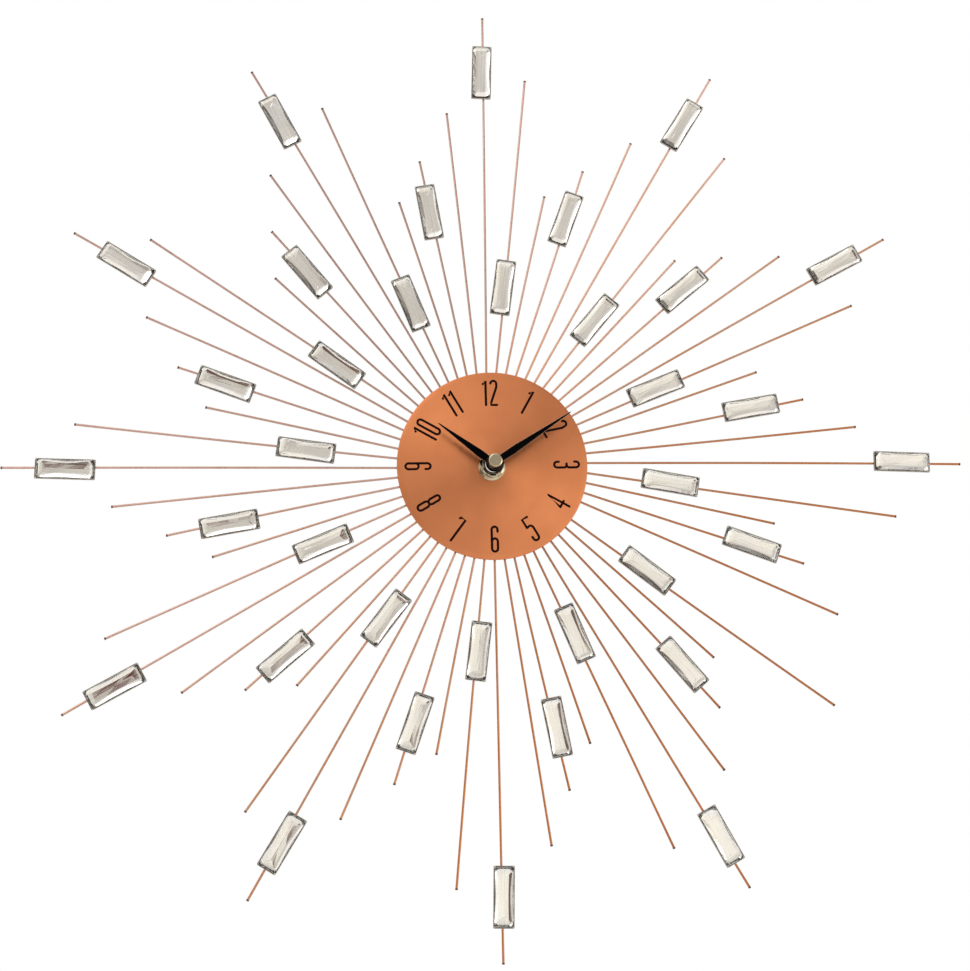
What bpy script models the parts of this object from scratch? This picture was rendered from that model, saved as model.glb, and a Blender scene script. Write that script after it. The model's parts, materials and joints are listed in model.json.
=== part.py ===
"""Sunburst wall clock: copper wire rays with crystals in cups around a spun copper dial, and a quartz movement.

Everything is designed in the face frame: x to the right, y up, z from the wall towards the viewer, with the hands'
axis at x = y = 0 and the wall at z = 0. One empty, clock_frame, carries that frame into the world, where +Z is up,
the wall lies at y = 0, the clock faces -Y and the origin is the seat of the wall hook under the hanger's bar.
Lengths in the tables below are in millimetres and are turned into metres once, in mm().
"""

import math

import bmesh
import bpy
from mathutils import Matrix, Vector

# ---------------------------------------------------------------- driving dimensions, in millimetres

HOOK_ABOVE_AXIS = 34.0
FACE_CENTRE = (0.0, 1.0)  # the dial and the rays sit this far off the hands' axis, on an oversize hole

# Rays. A place is a minute mark, 1 to 60, clockwise from the top; its remainder by 5 says what stands there.
PLACES = 60
EMPTY_PLACE = 20
WIRE_RADIUS = 0.6
RAY_REACH = {0: 250.0, 1: 215.0, 2: 151.0, 3: 170.5, 4: 195.5}
CRYSTAL_CENTRE = {0: 217.7, 1: 96.5, 3: 141.2}
CRYSTAL_ROW = {0: "outer", 1: "inner", 3: "middle"}
ROOT_RADIUS = 50.0
ROOT_TURN = -3.0
TIP_TURN = -1.75
SOLDERED_LENGTH = 11.0

# Hand work: the roots are soldered on a ring that sits a little off centre, a few rays lean, and a few cups sit
# further out or further in on their wires.
ROOT_SWAY = 1.1  # degrees
ROOT_SWAY_PLACE = 32  # where the roots stand furthest clockwise
LEAN = 1.5  # degrees
LEANING_CLOCKWISE = (6, 16)
LEANING_ANTICLOCKWISE = (12, 29, 51)
CUP_SLIDE = 3.0
CUPS_FURTHER_OUT = (25, 38, 40, 48)
CUPS_FURTHER_IN = (16, 28, 33, 43)

CUP_LENGTH = 30.3
CUP_WIDTH = 10.6
CUP_DEPTH = 1.5
CUP_WALL = 0.6
CUP_TURN = 1.7  # clockwise from its wire, in degrees
CUP_ASIDE = 0.9  # to the anticlockwise side of its wire
STONE_CORNER = 0.9
CROWN_INSET = 1.6
CROWN_RISE = 1.2
CULET_INSET = 1.4
CULET_DROP = 0.3
STONE_GIRDLE = 0.7

# Heights above the wall
CASE_FRONT = 16.0
FLANGE_BACK = 16.3
FLANGE_FRONT = 17.1
PLATE_BACK = 17.4
PLATE_FRONT = 18.4
RAY_HEIGHT = 18.95
CUP_BACK = 19.4
DIAL_BACK = 20.0
DIAL_FRONT = 21.0
WASHER_BACK = 21.3
WASHER_FRONT = 22.1
NUT_BACK = 22.4
NUT_FRONT = 24.4
BUSHING_FRONT = 26.4
HOUR_COLLET_BACK = 27.6
HOUR_HAND_FRONT = 29.9
HOUR_PIPE_FRONT = 30.3
MINUTE_COLLET_BACK = 30.7
MINUTE_HAND_FRONT = 32.6
CAP_BACK = 32.9
ARBOR_FRONT = 36.0
CAP_FRONT = 39.2

PLATE_RADIUS = 46.0
DIAL_RADIUS = 49.6
FACE_HOLE_RADIUS = 5.2
WASHER_RADIUS = 7.0
WASHER_HOLE_RADIUS = 4.8
WASHER_SLIP = (-0.43, -0.42)
NUT_ACROSS_FLATS = 10.8
NUT_HOLE_RADIUS = 4.2
BUSHING_RADIUS = 3.9
FLANGE_RADIUS = 6.0
SPIGOT_RADIUS = 3.6
BUSHING_BORE = 2.62
HOUR_PIPE_RADIUS = 2.55
HOUR_PIPE_BORE = 1.68
ARBOR_RADIUS = 1.6
ARBOR_BORE = 0.56
SECONDS_ARBOR_RADIUS = 0.5
CAP_RADIUS = 3.55
HAND_THICKNESS = 0.4
HOUR_HAND_LENGTH = 35.5
MINUTE_HAND_LENGTH = 48.4
HOUR_HAND_WIDTH = 4.1
MINUTE_HAND_WIDTH = 4.0
HOUR_BOSS_RADIUS = 5.1
MINUTE_BOSS_RADIUS = 3.8
HOUR_HAND_ANGLE = 305.3
MINUTE_HAND_ANGLE = 54.7
GAP = 0.3

# Movement case
CASE_SIDE = 56.0
CASE_WALL = 1.5
FRONT_WALL = 1.4
DIVIDER_TOP = -10.6
DIVIDER_BOTTOM = -11.4
BAY_HALF_LENGTH = 26.3
BAY_FRONT = 15.3
COVER_THICKNESS = 1.2
HANGER_WIDTH = 18.0
HANGER_SLOT_WIDTH = 12.0
HANGER_BAR = 2.5
HANGER_THICKNESS = 3.0
BATTERY_RADIUS = 7.25
BATTERY_HEIGHT = 7.9
BATTERY_BODY = 49.0
BATTERY_NUB = 1.0

# Gears: (teeth, module), and the layer that each wheel or pinion lies in, above the wall
CANNON_PINION = (10, 0.42)
MOTION_WHEEL = (30, 0.42)
MOTION_PINION = (8, 0.42)
HOUR_WHEEL = (32, 0.42)
KNOB_PINION = (10, 0.42)
CENTRE_WHEEL = (48, 10.2 / 27)
THIRD_PINION = (6, 10.2 / 27)
THIRD_WHEEL = (45, 0.4)
SECONDS_PINION = (6, 0.4)
SECONDS_WHEEL = (36, 0.4)
INTERMEDIATE_PINION = (6, 0.4)
INTERMEDIATE_WHEEL = (30, 1 / 3)
ROTOR_PINION = (6, 1 / 3)
ADDENDUM = 0.8
DEDENDUM = 1.0
ROOT_FULLNESS = 0.95
TIP_FULLNESS = 0.3

HOUR_LAYER = (13.0, 14.2)
MOTION_LAYER = (11.6, 12.6)
CENTRE_LAYER = (10.0, 11.0)
THIRD_LAYER = (8.4, 9.4)
SECONDS_LAYER = (6.8, 7.8)
INTERMEDIATE_LAYER = (5.2, 6.2)
STATOR_LAYER = (3.2, 4.0)
MAGNET_LAYER = (2.8, 4.6)
STUD_RADIUS = 0.55
STUD_BORE = 0.61
ROTOR_STUD_RADIUS = 0.4
ROTOR_STUD_BORE = 0.46
MAGNET_RADIUS = 2.0

MOTION_DIRECTION = 200.0
KNOB_DIRECTION = 190.0
THIRD_DIRECTION = 150.0
INTERMEDIATE_DIRECTION = 40.0
ROTOR_DIRECTION = 30.0

FINE = 48
COARSE = 24
TINY = 16


def mm(value):
    return value / 1000


def polar(distance, degrees, start=(0.0, 0.0)):
    """A point at a distance and a direction, anticlockwise from +x, from the start."""
    angle = math.radians(degrees)
    return (start[0] + distance * math.cos(angle), start[1] + distance * math.sin(angle))


def pitch_radius(gear):
    teeth, module = gear
    return teeth * module / 2


def axle_distance(first, second):
    return pitch_radius(first) + pitch_radius(second)


MOTION_AXLE = polar(axle_distance(CANNON_PINION, MOTION_WHEEL), MOTION_DIRECTION)
KNOB_AXLE = polar(axle_distance(MOTION_WHEEL, KNOB_PINION), KNOB_DIRECTION, MOTION_AXLE)
THIRD_AXLE = polar(axle_distance(SECONDS_PINION, THIRD_WHEEL), THIRD_DIRECTION)
INTERMEDIATE_AXLE = polar(axle_distance(SECONDS_WHEEL, INTERMEDIATE_PINION), INTERMEDIATE_DIRECTION)
ROTOR_AXLE = polar(axle_distance(INTERMEDIATE_WHEEL, ROTOR_PINION), ROTOR_DIRECTION, INTERMEDIATE_AXLE)

# ---------------------------------------------------------------- scene, collections and materials

for old in list(bpy.data.objects):
    bpy.data.objects.remove(old, do_unlink=True)

clock = bpy.data.collections.new("sunburst_clock")
cutters = bpy.data.collections.new("cutters")
bpy.context.scene.collection.children.link(clock)
bpy.context.scene.collection.children.link(cutters)

clock_frame = bpy.data.objects.new("clock_frame", None)
clock_frame.location = (0, 0, -mm(HOOK_ABOVE_AXIS))
clock_frame.rotation_euler = (math.pi / 2, 0, 0)
clock.objects.link(clock_frame)


def material(name, colour, metallic, roughness, alpha=1.0):
    made = bpy.data.materials.new(name)
    made.use_nodes = True
    shader = made.node_tree.nodes["Principled BSDF"]
    shader.inputs["Base Color"].default_value = (*colour, 1)
    shader.inputs["Metallic"].default_value = metallic
    shader.inputs["Roughness"].default_value = roughness
    shader.inputs["Alpha"].default_value = alpha
    return made


COPPER_WIRE = material("copper_wire", (0.72, 0.36, 0.25), 1.0, 0.3)
SPUN_COPPER = material("spun_copper", (0.64, 0.24, 0.10), 1.0, 0.35)
CRYSTAL = material("crystal", (0.85, 0.83, 0.78), 0.0, 0.05, 0.5)
BLACK_METAL = material("black_metal", (0.01, 0.01, 0.012), 0.3, 0.35)
PALE_BRASS = material("pale_brass", (0.62, 0.55, 0.38), 1.0, 0.25)
BRASS = material("brass", (0.70, 0.50, 0.20), 1.0, 0.3)
BLACK_PLASTIC = material("black_plastic", (0.02, 0.02, 0.02), 0.0, 0.5)
WHITE_PLASTIC = material("white_plastic", (0.75, 0.75, 0.72), 0.0, 0.4)
STEEL = material("steel", (0.55, 0.55, 0.55), 1.0, 0.3)
BOARD_GREEN = material("board_green", (0.03, 0.18, 0.08), 0.0, 0.4)
COIL_WIRE = material("coil_wire", (0.50, 0.18, 0.06), 0.8, 0.4)
BATTERY_WRAP = material("battery_wrap", (0.10, 0.12, 0.16), 0.2, 0.35)

# ---------------------------------------------------------------- helpers


def place(obj, at=(0.0, 0.0), finish=None):
    """Puts a piece into the clock, with its origin on its own axis at the wall."""
    clock.objects.link(obj)
    obj.parent = clock_frame
    obj.location = (mm(at[0]), mm(at[1]), 0)
    obj.data.materials.clear()
    obj.data.materials.append(finish)
    return obj


def helper(obj, at=(0.0, 0.0)):
    """Puts a cutter or a piece to be joined beside the clock, out of the render."""
    cutters.objects.link(obj)
    obj.parent = clock_frame
    obj.location = (mm(at[0]), mm(at[1]), 0)
    obj.hide_render = True
    obj.display_type = "WIRE"
    return obj


def new_object(name, bm):
    mesh = bpy.data.meshes.new(name)
    bm.to_mesh(mesh)
    bm.free()
    return bpy.data.objects.new(name, mesh)


def smooth(obj, degrees=35):
    obj.data.shade_smooth()
    obj.data.set_sharp_from_angle(angle=math.radians(degrees))
    return obj


def block(name, low, high):
    """A box between two corners, in millimetres."""
    bm = bmesh.new()
    bmesh.ops.create_cube(bm, size=1)
    low, high = Vector(low), Vector(high)
    size = (high - low) / 1000
    bmesh.ops.scale(bm, vec=size, verts=bm.verts)
    bmesh.ops.translate(bm, vec=(low + high) / 2000, verts=bm.verts)
    return new_object(name, bm)


def rod(name, radius, low, high, segments=COARSE):
    """A cylinder along z between two heights, in millimetres."""
    bm = bmesh.new()
    bmesh.ops.create_cone(
        bm, cap_ends=True, segments=segments, radius1=mm(radius), radius2=mm(radius), depth=mm(high - low)
    )
    bmesh.ops.translate(bm, vec=(0, 0, mm(low + high) / 2), verts=bm.verts)
    return new_object(name, bm)


def turned(name, profile, steps=FINE, closed=False):
    """A turned piece from (radius, height) points that run down its outer side; closed for a ring."""
    bm = bmesh.new()
    points = [bm.verts.new((mm(radius), 0, mm(height))) for radius, height in profile]
    for first, second in zip(points, points[1:] + points[:1] if closed else points[1:]):
        bm.edges.new((first, second))
    obj = new_object(name, bm)
    screw = obj.modifiers.new("turn", "SCREW")
    screw.steps = screw.render_steps = steps
    screw.use_merge_vertices = True
    screw.merge_threshold = 1e-6
    screw.use_smooth_shade = False
    return obj


def ring(name, outer, inner, low, high, steps=FINE):
    return turned(name, [(outer, high), (outer, low), (inner, low), (inner, high)], steps, closed=True)


def flat(name, outlines, low, high):
    """A plate of the given closed outlines, the first outside and the others holes, between two heights."""
    curve = bpy.data.curves.new(name, "CURVE")
    curve.dimensions = "2D"
    curve.fill_mode = "BOTH"
    curve.extrude = mm(high - low) / 2
    for outline in outlines:
        spline = curve.splines.new("POLY")
        spline.points.add(len(outline) - 1)
        for point, (x, y) in zip(spline.points, outline):
            point.co = (mm(x), mm(y), 0, 1)
        spline.use_cyclic_u = True
    drawn = bpy.data.objects.new(name, curve)
    cutters.objects.link(drawn)
    bpy.context.view_layer.update()
    graph = bpy.context.evaluated_depsgraph_get()
    mesh = bpy.data.meshes.new_from_object(drawn.evaluated_get(graph))
    bpy.data.objects.remove(drawn, do_unlink=True)
    bm = bmesh.new()
    bm.from_mesh(mesh)
    bmesh.ops.remove_doubles(bm, verts=bm.verts, dist=1e-7)
    bmesh.ops.translate(bm, vec=(0, 0, mm(low + high) / 2), verts=bm.verts)
    bmesh.ops.recalc_face_normals(bm, faces=bm.faces)
    bpy.data.meshes.remove(mesh)
    return new_object(name, bm)


def circle(radius, centre=(0.0, 0.0), points=COARSE, start=0):
    return [polar(radius, start + 360 * i / points, centre) for i in range(points)]


def combine(obj, other, operation):
    """Adds or takes away another object, which becomes a helper."""
    boolean = obj.modifiers.new(f"{operation.lower()}_{other.name}", "BOOLEAN")
    boolean.operation = operation
    boolean.solver = "EXACT"
    boolean.object = other
    return obj


def bevel(obj, width, degrees=40):
    edge = obj.modifiers.new("edges", "BEVEL")
    edge.width = mm(width)
    edge.segments = 1
    edge.limit_method = "ANGLE"
    edge.angle_limit = math.radians(degrees)
    return obj


def gear_outline(gear, phase):
    """Straight-sided teeth, with one tooth centred on the phase, in degrees anticlockwise from +x."""
    teeth, module = gear
    root = pitch_radius(gear) - DEDENDUM * module
    tip = pitch_radius(gear) + ADDENDUM * module
    half = 90 / teeth
    outline = []
    for tooth in range(teeth):
        centre = phase + 360 * tooth / teeth
        outline.append(polar(root, centre - half * ROOT_FULLNESS))
        outline.append(polar(tip, centre - half * TIP_FULLNESS))
        outline.append(polar(tip, centre + half * TIP_FULLNESS))
        outline.append(polar(root, centre + half * ROOT_FULLNESS))
    return outline


def meshing_phase(driver, driver_phase, driven, direction):
    """The phase that puts the driven gear's gap where the driver's tooth comes, along the line of centres."""
    behind = direction - driver_phase
    return direction + 180 + 180 / driven[0] + behind * driver[0] / driven[0]


def hand_outline(length, width):
    """A lance: narrow at the boss, widest a quarter of the way out, and drawn to a point. It lies along +y."""
    widest = length * 0.26
    return [
        (-width * 0.4, 0.0),
        (width * 0.4, 0.0),
        (width * 0.5, widest),
        (0.3, length - 0.6),
        (0.0, length),
        (-0.3, length - 0.6),
        (-width * 0.5, widest),
    ]


# ---------------------------------------------------------------- rays, cups and crystals


def either(number, raised, lowered, amount):
    """The amount for a place in the first list, its opposite for one in the second, and otherwise nothing."""
    return amount * ((number in raised) - (number in lowered))


def on_face(radius, clockwise):
    """A point at a radius from the face's centre, at an angle clockwise from the top."""
    return Vector(polar(radius, 90 - clockwise, FACE_CENTRE))


def ray_line(number):
    """The ray's root on the soldering circle, its tip, and its direction as an angle anticlockwise from +x."""
    angle = 360 * number / PLACES
    sway = ROOT_SWAY * math.cos(math.radians(angle - 360 * ROOT_SWAY_PLACE / PLACES))
    lean = either(number, LEANING_CLOCKWISE, LEANING_ANTICLOCKWISE, LEAN)
    root = on_face(ROOT_RADIUS, angle + ROOT_TURN + sway)
    tip = on_face(RAY_REACH[number % 5], angle + TIP_TURN + lean)
    along = (tip - root).normalized()
    return root, tip, along


def cup_place(number):
    """The cup's centre on the face and its turn anticlockwise from +x."""
    root, _, along = ray_line(number)
    slide = either(number, CUPS_FURTHER_OUT, CUPS_FURTHER_IN, CUP_SLIDE)
    distance = CRYSTAL_CENTRE[number % 5] + slide - ROOT_RADIUS
    aside = Vector((-along.y, along.x)) * CUP_ASIDE
    turn = math.atan2(along.y, along.x) - math.radians(CUP_TURN)
    return root + along * distance + aside, turn


def wire(number):
    root, tip, along = ray_line(number)
    start = root - along * SOLDERED_LENGTH
    length = (tip - start).length
    bm = bmesh.new()
    bmesh.ops.create_cone(
        bm, cap_ends=True, segments=8, radius1=mm(WIRE_RADIUS), radius2=mm(WIRE_RADIUS), depth=mm(length)
    )
    lay_down = Matrix.Rotation(math.pi / 2, 4, "Y")
    turn = Matrix.Rotation(math.atan2(along.y, along.x), 4, "Z")
    middle = (start + tip) / 2
    lift = Matrix.Translation((mm(middle.x), mm(middle.y), mm(RAY_HEIGHT)))
    bmesh.ops.transform(bm, matrix=lift @ turn @ lay_down, verts=bm.verts)
    return new_object(f"wire_{number:02d}", bm)


def cup_mesh():
    """A shallow open box: its front face is inset by the wall and sunk to the floor."""
    bm = bmesh.new()
    bmesh.ops.create_cube(bm, size=1)
    bmesh.ops.scale(bm, vec=(mm(CUP_LENGTH), mm(CUP_WIDTH), mm(CUP_DEPTH)), verts=bm.verts)
    bmesh.ops.translate(bm, vec=(0, 0, mm(CUP_BACK + CUP_DEPTH / 2)), verts=bm.verts)
    front = max(bm.faces, key=lambda face: face.calc_center_median().z)
    bmesh.ops.inset_region(bm, faces=[front], thickness=mm(CUP_WALL), use_even_offset=True)
    sunk = bmesh.ops.extrude_face_region(bm, geom=[front])
    moved = [v for v in sunk["geom"] if isinstance(v, bmesh.types.BMVert)]
    bmesh.ops.translate(bm, vec=(0, 0, -mm(CUP_DEPTH - CUP_WALL)), verts=moved)
    bmesh.ops.delete(bm, geom=[front], context="FACES_ONLY")
    mesh = bpy.data.meshes.new("crystal_cup")
    bm.to_mesh(mesh)
    bm.free()
    return mesh


def stone_mesh():
    """A long cut stone with cut corners: girdle, crown and table in front, culet behind."""
    bm = bmesh.new()
    bmesh.ops.create_cube(bm, size=1)
    length = CUP_LENGTH - 2 * CUP_WALL - 2 * GAP
    width = CUP_WIDTH - 2 * CUP_WALL - 2 * GAP
    bmesh.ops.scale(bm, vec=(mm(length), mm(width), mm(STONE_GIRDLE)), verts=bm.verts)
    back = CUP_BACK + CUP_WALL + GAP + CULET_DROP
    bmesh.ops.translate(bm, vec=(0, 0, mm(back + STONE_GIRDLE / 2)), verts=bm.verts)
    upright = [e for e in bm.edges if abs(e.verts[0].co.z - e.verts[1].co.z) > mm(STONE_GIRDLE) / 2]
    bmesh.ops.bevel(bm, geom=upright, offset=mm(STONE_CORNER), segments=1, affect="EDGES")
    bm.faces.ensure_lookup_table()
    table = max(bm.faces, key=lambda face: face.calc_center_median().z)
    culet = min(bm.faces, key=lambda face: face.calc_center_median().z)
    bmesh.ops.inset_region(bm, faces=[table], thickness=mm(CROWN_INSET), depth=0)
    bmesh.ops.translate(bm, vec=(0, 0, mm(CROWN_RISE)), verts=table.verts)
    bmesh.ops.inset_region(bm, faces=[culet], thickness=mm(CULET_INSET), depth=0)
    bmesh.ops.translate(bm, vec=(0, 0, -mm(CULET_DROP)), verts=culet.verts)
    bmesh.ops.recalc_face_normals(bm, faces=bm.faces)
    mesh = bpy.data.meshes.new("crystal")
    bm.to_mesh(mesh)
    bm.free()
    mesh.materials.append(CRYSTAL)
    return mesh


def ray_frame():
    """Every ray and cup, brazed to the mounting plate."""
    plate = ring("ray_frame", PLATE_RADIUS, FACE_HOLE_RADIUS, PLATE_BACK, PLATE_FRONT)
    brazed = bpy.data.collections.new("brazed_pieces")
    cutters.children.link(brazed)
    cup = cup_mesh()
    pieces = [wire(number) for number in standing_places()]
    for number in crystal_places():
        piece = bpy.data.objects.new(f"cup_{number:02d}", cup)
        centre, turn = cup_place(number)
        piece.matrix_local = Matrix.Translation((mm(centre.x), mm(centre.y), 0)) @ Matrix.Rotation(turn, 4, "Z")
        pieces.append(piece)
    for piece in pieces:
        brazed.objects.link(piece)
        piece.parent = clock_frame
        piece.hide_render = True
        piece.display_type = "WIRE"
    join = plate.modifiers.new("brazing", "BOOLEAN")
    join.operation = "UNION"
    join.solver = "EXACT"
    join.operand_type = "COLLECTION"
    join.collection = brazed
    return place(plate, FACE_CENTRE, COPPER_WIRE)


def standing_places():
    return [number for number in range(1, PLACES + 1) if number != EMPTY_PLACE]


def crystal_places():
    return [number for number in standing_places() if number % 5 in CRYSTAL_CENTRE]


def crystals():
    stone = stone_mesh()
    for number in crystal_places():
        hour = (number // 5 - 1) % 12 + 1
        obj = bpy.data.objects.new(f"{CRYSTAL_ROW[number % 5]}_crystal_{hour:02d}", stone)
        clock.objects.link(obj)
        obj.parent = clock_frame
        centre, turn = cup_place(number)
        obj.location = (mm(centre.x), mm(centre.y), 0)
        obj.rotation_euler = (0, 0, turn)


# ---------------------------------------------------------------- dial, fixings and hands


def dial():
    disc = ring("dial", DIAL_RADIUS, FACE_HOLE_RADIUS, DIAL_BACK, DIAL_FRONT, steps=96)
    return smooth(place(disc, FACE_CENTRE, SPUN_COPPER))


def fixings():
    profile = [
        (BUSHING_RADIUS, BUSHING_FRONT),
        (BUSHING_RADIUS, FLANGE_FRONT),
        (FLANGE_RADIUS, FLANGE_FRONT),
        (FLANGE_RADIUS, FLANGE_BACK),
        (SPIGOT_RADIUS, FLANGE_BACK),
        (SPIGOT_RADIUS, CASE_FRONT - FRONT_WALL),
        (BUSHING_BORE, CASE_FRONT - FRONT_WALL),
        (BUSHING_BORE, BUSHING_FRONT),
    ]
    place(turned("threaded_bushing", profile, steps=32, closed=True), finish=BRASS)
    washer = ring("front_washer", WASHER_RADIUS, WASHER_HOLE_RADIUS, WASHER_BACK, WASHER_FRONT)
    place(washer, WASHER_SLIP, PALE_BRASS)
    corner_radius = NUT_ACROSS_FLATS / 2 / math.cos(math.pi / 6)
    hexagon = circle(corner_radius, points=6, start=30)
    nut = flat("mounting_nut", [hexagon, circle(NUT_HOLE_RADIUS)], NUT_BACK, NUT_FRONT)
    place(nut, finish=PALE_BRASS)


def hand(name, length, width, angle, boss_radius, hole_radius, back, front):
    """A blade joined to a round boss, turned clockwise to the angle that it shows."""
    boss = rod(name, boss_radius, back, front, 32)
    blade = flat(f"{name}_blade", [hand_outline(length, width)], front - HAND_THICKNESS, front + 0.01)
    hole = rod(f"{name}_hole", hole_radius, back - 1, front + 1)
    for tool in (blade, hole):
        helper(tool).rotation_euler = (0, 0, -math.radians(angle))
    combine(boss, blade, "UNION")
    combine(boss, hole, "DIFFERENCE")
    place(boss, finish=BLACK_METAL)


def hands():
    hand(
        "hour_hand",
        HOUR_HAND_LENGTH,
        HOUR_HAND_WIDTH,
        HOUR_HAND_ANGLE,
        HOUR_BOSS_RADIUS,
        HOUR_PIPE_RADIUS + GAP,
        HOUR_COLLET_BACK,
        HOUR_HAND_FRONT,
    )
    hand(
        "minute_hand",
        MINUTE_HAND_LENGTH,
        MINUTE_HAND_WIDTH,
        MINUTE_HAND_ANGLE,
        MINUTE_BOSS_RADIUS,
        ARBOR_RADIUS + GAP,
        MINUTE_COLLET_BACK,
        MINUTE_HAND_FRONT,
    )
    profile = [
        (0, CAP_FRONT),
        (CAP_RADIUS - 0.5, CAP_FRONT),
        (CAP_RADIUS, CAP_FRONT - 0.5),
        (CAP_RADIUS, CAP_BACK),
        (ARBOR_RADIUS + GAP, CAP_BACK),
        (ARBOR_RADIUS + GAP, ARBOR_FRONT + GAP),
        (0, ARBOR_FRONT + GAP),
    ]
    place(turned("hand_cap", profile, steps=32), finish=PALE_BRASS)


# ---------------------------------------------------------------- quartz movement


def movement_case():
    """A moulded box, open at the back: gear chamber above, battery bay below, hanger on top."""
    half = CASE_SIDE / 2
    inner = half - CASE_WALL
    case = block("movement_case", (-half, -half, 0), (half, half, CASE_FRONT))
    hanger = block(
        "hanger", (-HANGER_WIDTH / 2, half - 1, 0), (HANGER_WIDTH / 2, HOOK_ABOVE_AXIS + HANGER_BAR, HANGER_THICKNESS)
    )
    slot = block("hanger_slot", (-HANGER_SLOT_WIDTH / 2, half, -1), (HANGER_SLOT_WIDTH / 2, HOOK_ABOVE_AXIS, 4))
    chamber = block("gear_chamber", (-inner, DIVIDER_TOP, -1), (inner, inner, CASE_FRONT - FRONT_WALL))
    bay = block("battery_bay", (-BAY_HALF_LENGTH, -inner, -1), (BAY_HALF_LENGTH, DIVIDER_BOTTOM, BAY_FRONT))
    hole = rod("bushing_hole", SPIGOT_RADIUS + GAP, CASE_FRONT - FRONT_WALL - 1, CASE_FRONT + 1)
    combine(case, helper(hanger), "UNION")
    for tool in (slot, chamber, bay, hole):
        combine(case, helper(tool), "DIFFERENCE")
    inside = CASE_FRONT - FRONT_WALL
    motion_stud = rod("motion_stud", STUD_RADIUS, MOTION_LAYER[0] - GAP, inside + 0.5, TINY)
    third_stud = rod("third_stud", STUD_RADIUS, THIRD_LAYER[0] - 0.2, inside + 0.5, TINY)
    combine(case, helper(motion_stud, MOTION_AXLE), "UNION")
    combine(case, helper(third_stud, THIRD_AXLE), "UNION")
    knob_socket = rod("knob_socket", STUD_BORE, inside - 0.5, inside + 1.0, TINY)
    combine(case, helper(knob_socket, KNOB_AXLE), "DIFFERENCE")
    return place(case, finish=BLACK_PLASTIC)


KNOB_RADIUS = 4.5
KNOB_CLEARANCE = 0.08
SEAT_BOSS_RADIUS = 1.4
SEAT_BOSS_TOP = 3.2


def rear_cover():
    """The lid of the gear chamber, with the studs and the seat that carry the gears behind the centre wheel."""
    inner = CASE_SIDE / 2 - CASE_WALL - GAP
    cover = block("rear_cover", (-inner, DIVIDER_TOP + GAP, 0), (inner, inner, COVER_THICKNESS))
    window = rod("knob_window", KNOB_RADIUS + KNOB_CLEARANCE, -1, COVER_THICKNESS + 1, FINE)
    combine(cover, helper(window, KNOB_AXLE), "DIFFERENCE")
    intermediate_stud = rod("intermediate_stud", STUD_RADIUS, 0.5, SECONDS_LAYER[1] + 0.2, TINY)
    combine(cover, helper(intermediate_stud, INTERMEDIATE_AXLE), "UNION")
    rotor_stud = rod("rotor_stud", ROTOR_STUD_RADIUS, 0.5, INTERMEDIATE_LAYER[1] + 0.3, TINY)
    combine(cover, helper(rotor_stud, ROTOR_AXLE), "UNION")
    combine(cover, helper(rod("seat_boss", SEAT_BOSS_RADIUS, 0.5, SEAT_BOSS_TOP, TINY)), "UNION")
    seat = rod("seat_hole", ARBOR_BORE, COVER_THICKNESS, SEAT_BOSS_TOP + 1, TINY)
    combine(cover, helper(seat), "DIFFERENCE")
    return place(cover, finish=BLACK_PLASTIC)


def toothed(name, gear, layer, phase):
    return flat(name, [gear_outline(gear, phase)], *layer)


def wheel_and_pinion(name, axle, wheel, wheel_layer, wheel_phase, pinion, pinion_layer, pinion_phase, bore):
    """A wheel and its pinion moulded in one, bored to run on a stud."""
    body = toothed(name, wheel, wheel_layer, wheel_phase)
    leaf = toothed(f"{name}_pinion", pinion, pinion_layer, pinion_phase)
    hole = rod(f"{name}_bore", bore, wheel_layer[0] - 5, pinion_layer[1] + 5, TINY)
    combine(body, helper(leaf, axle), "UNION")
    combine(body, helper(hole, axle), "DIFFERENCE")
    return place(body, axle, WHITE_PLASTIC)


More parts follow.
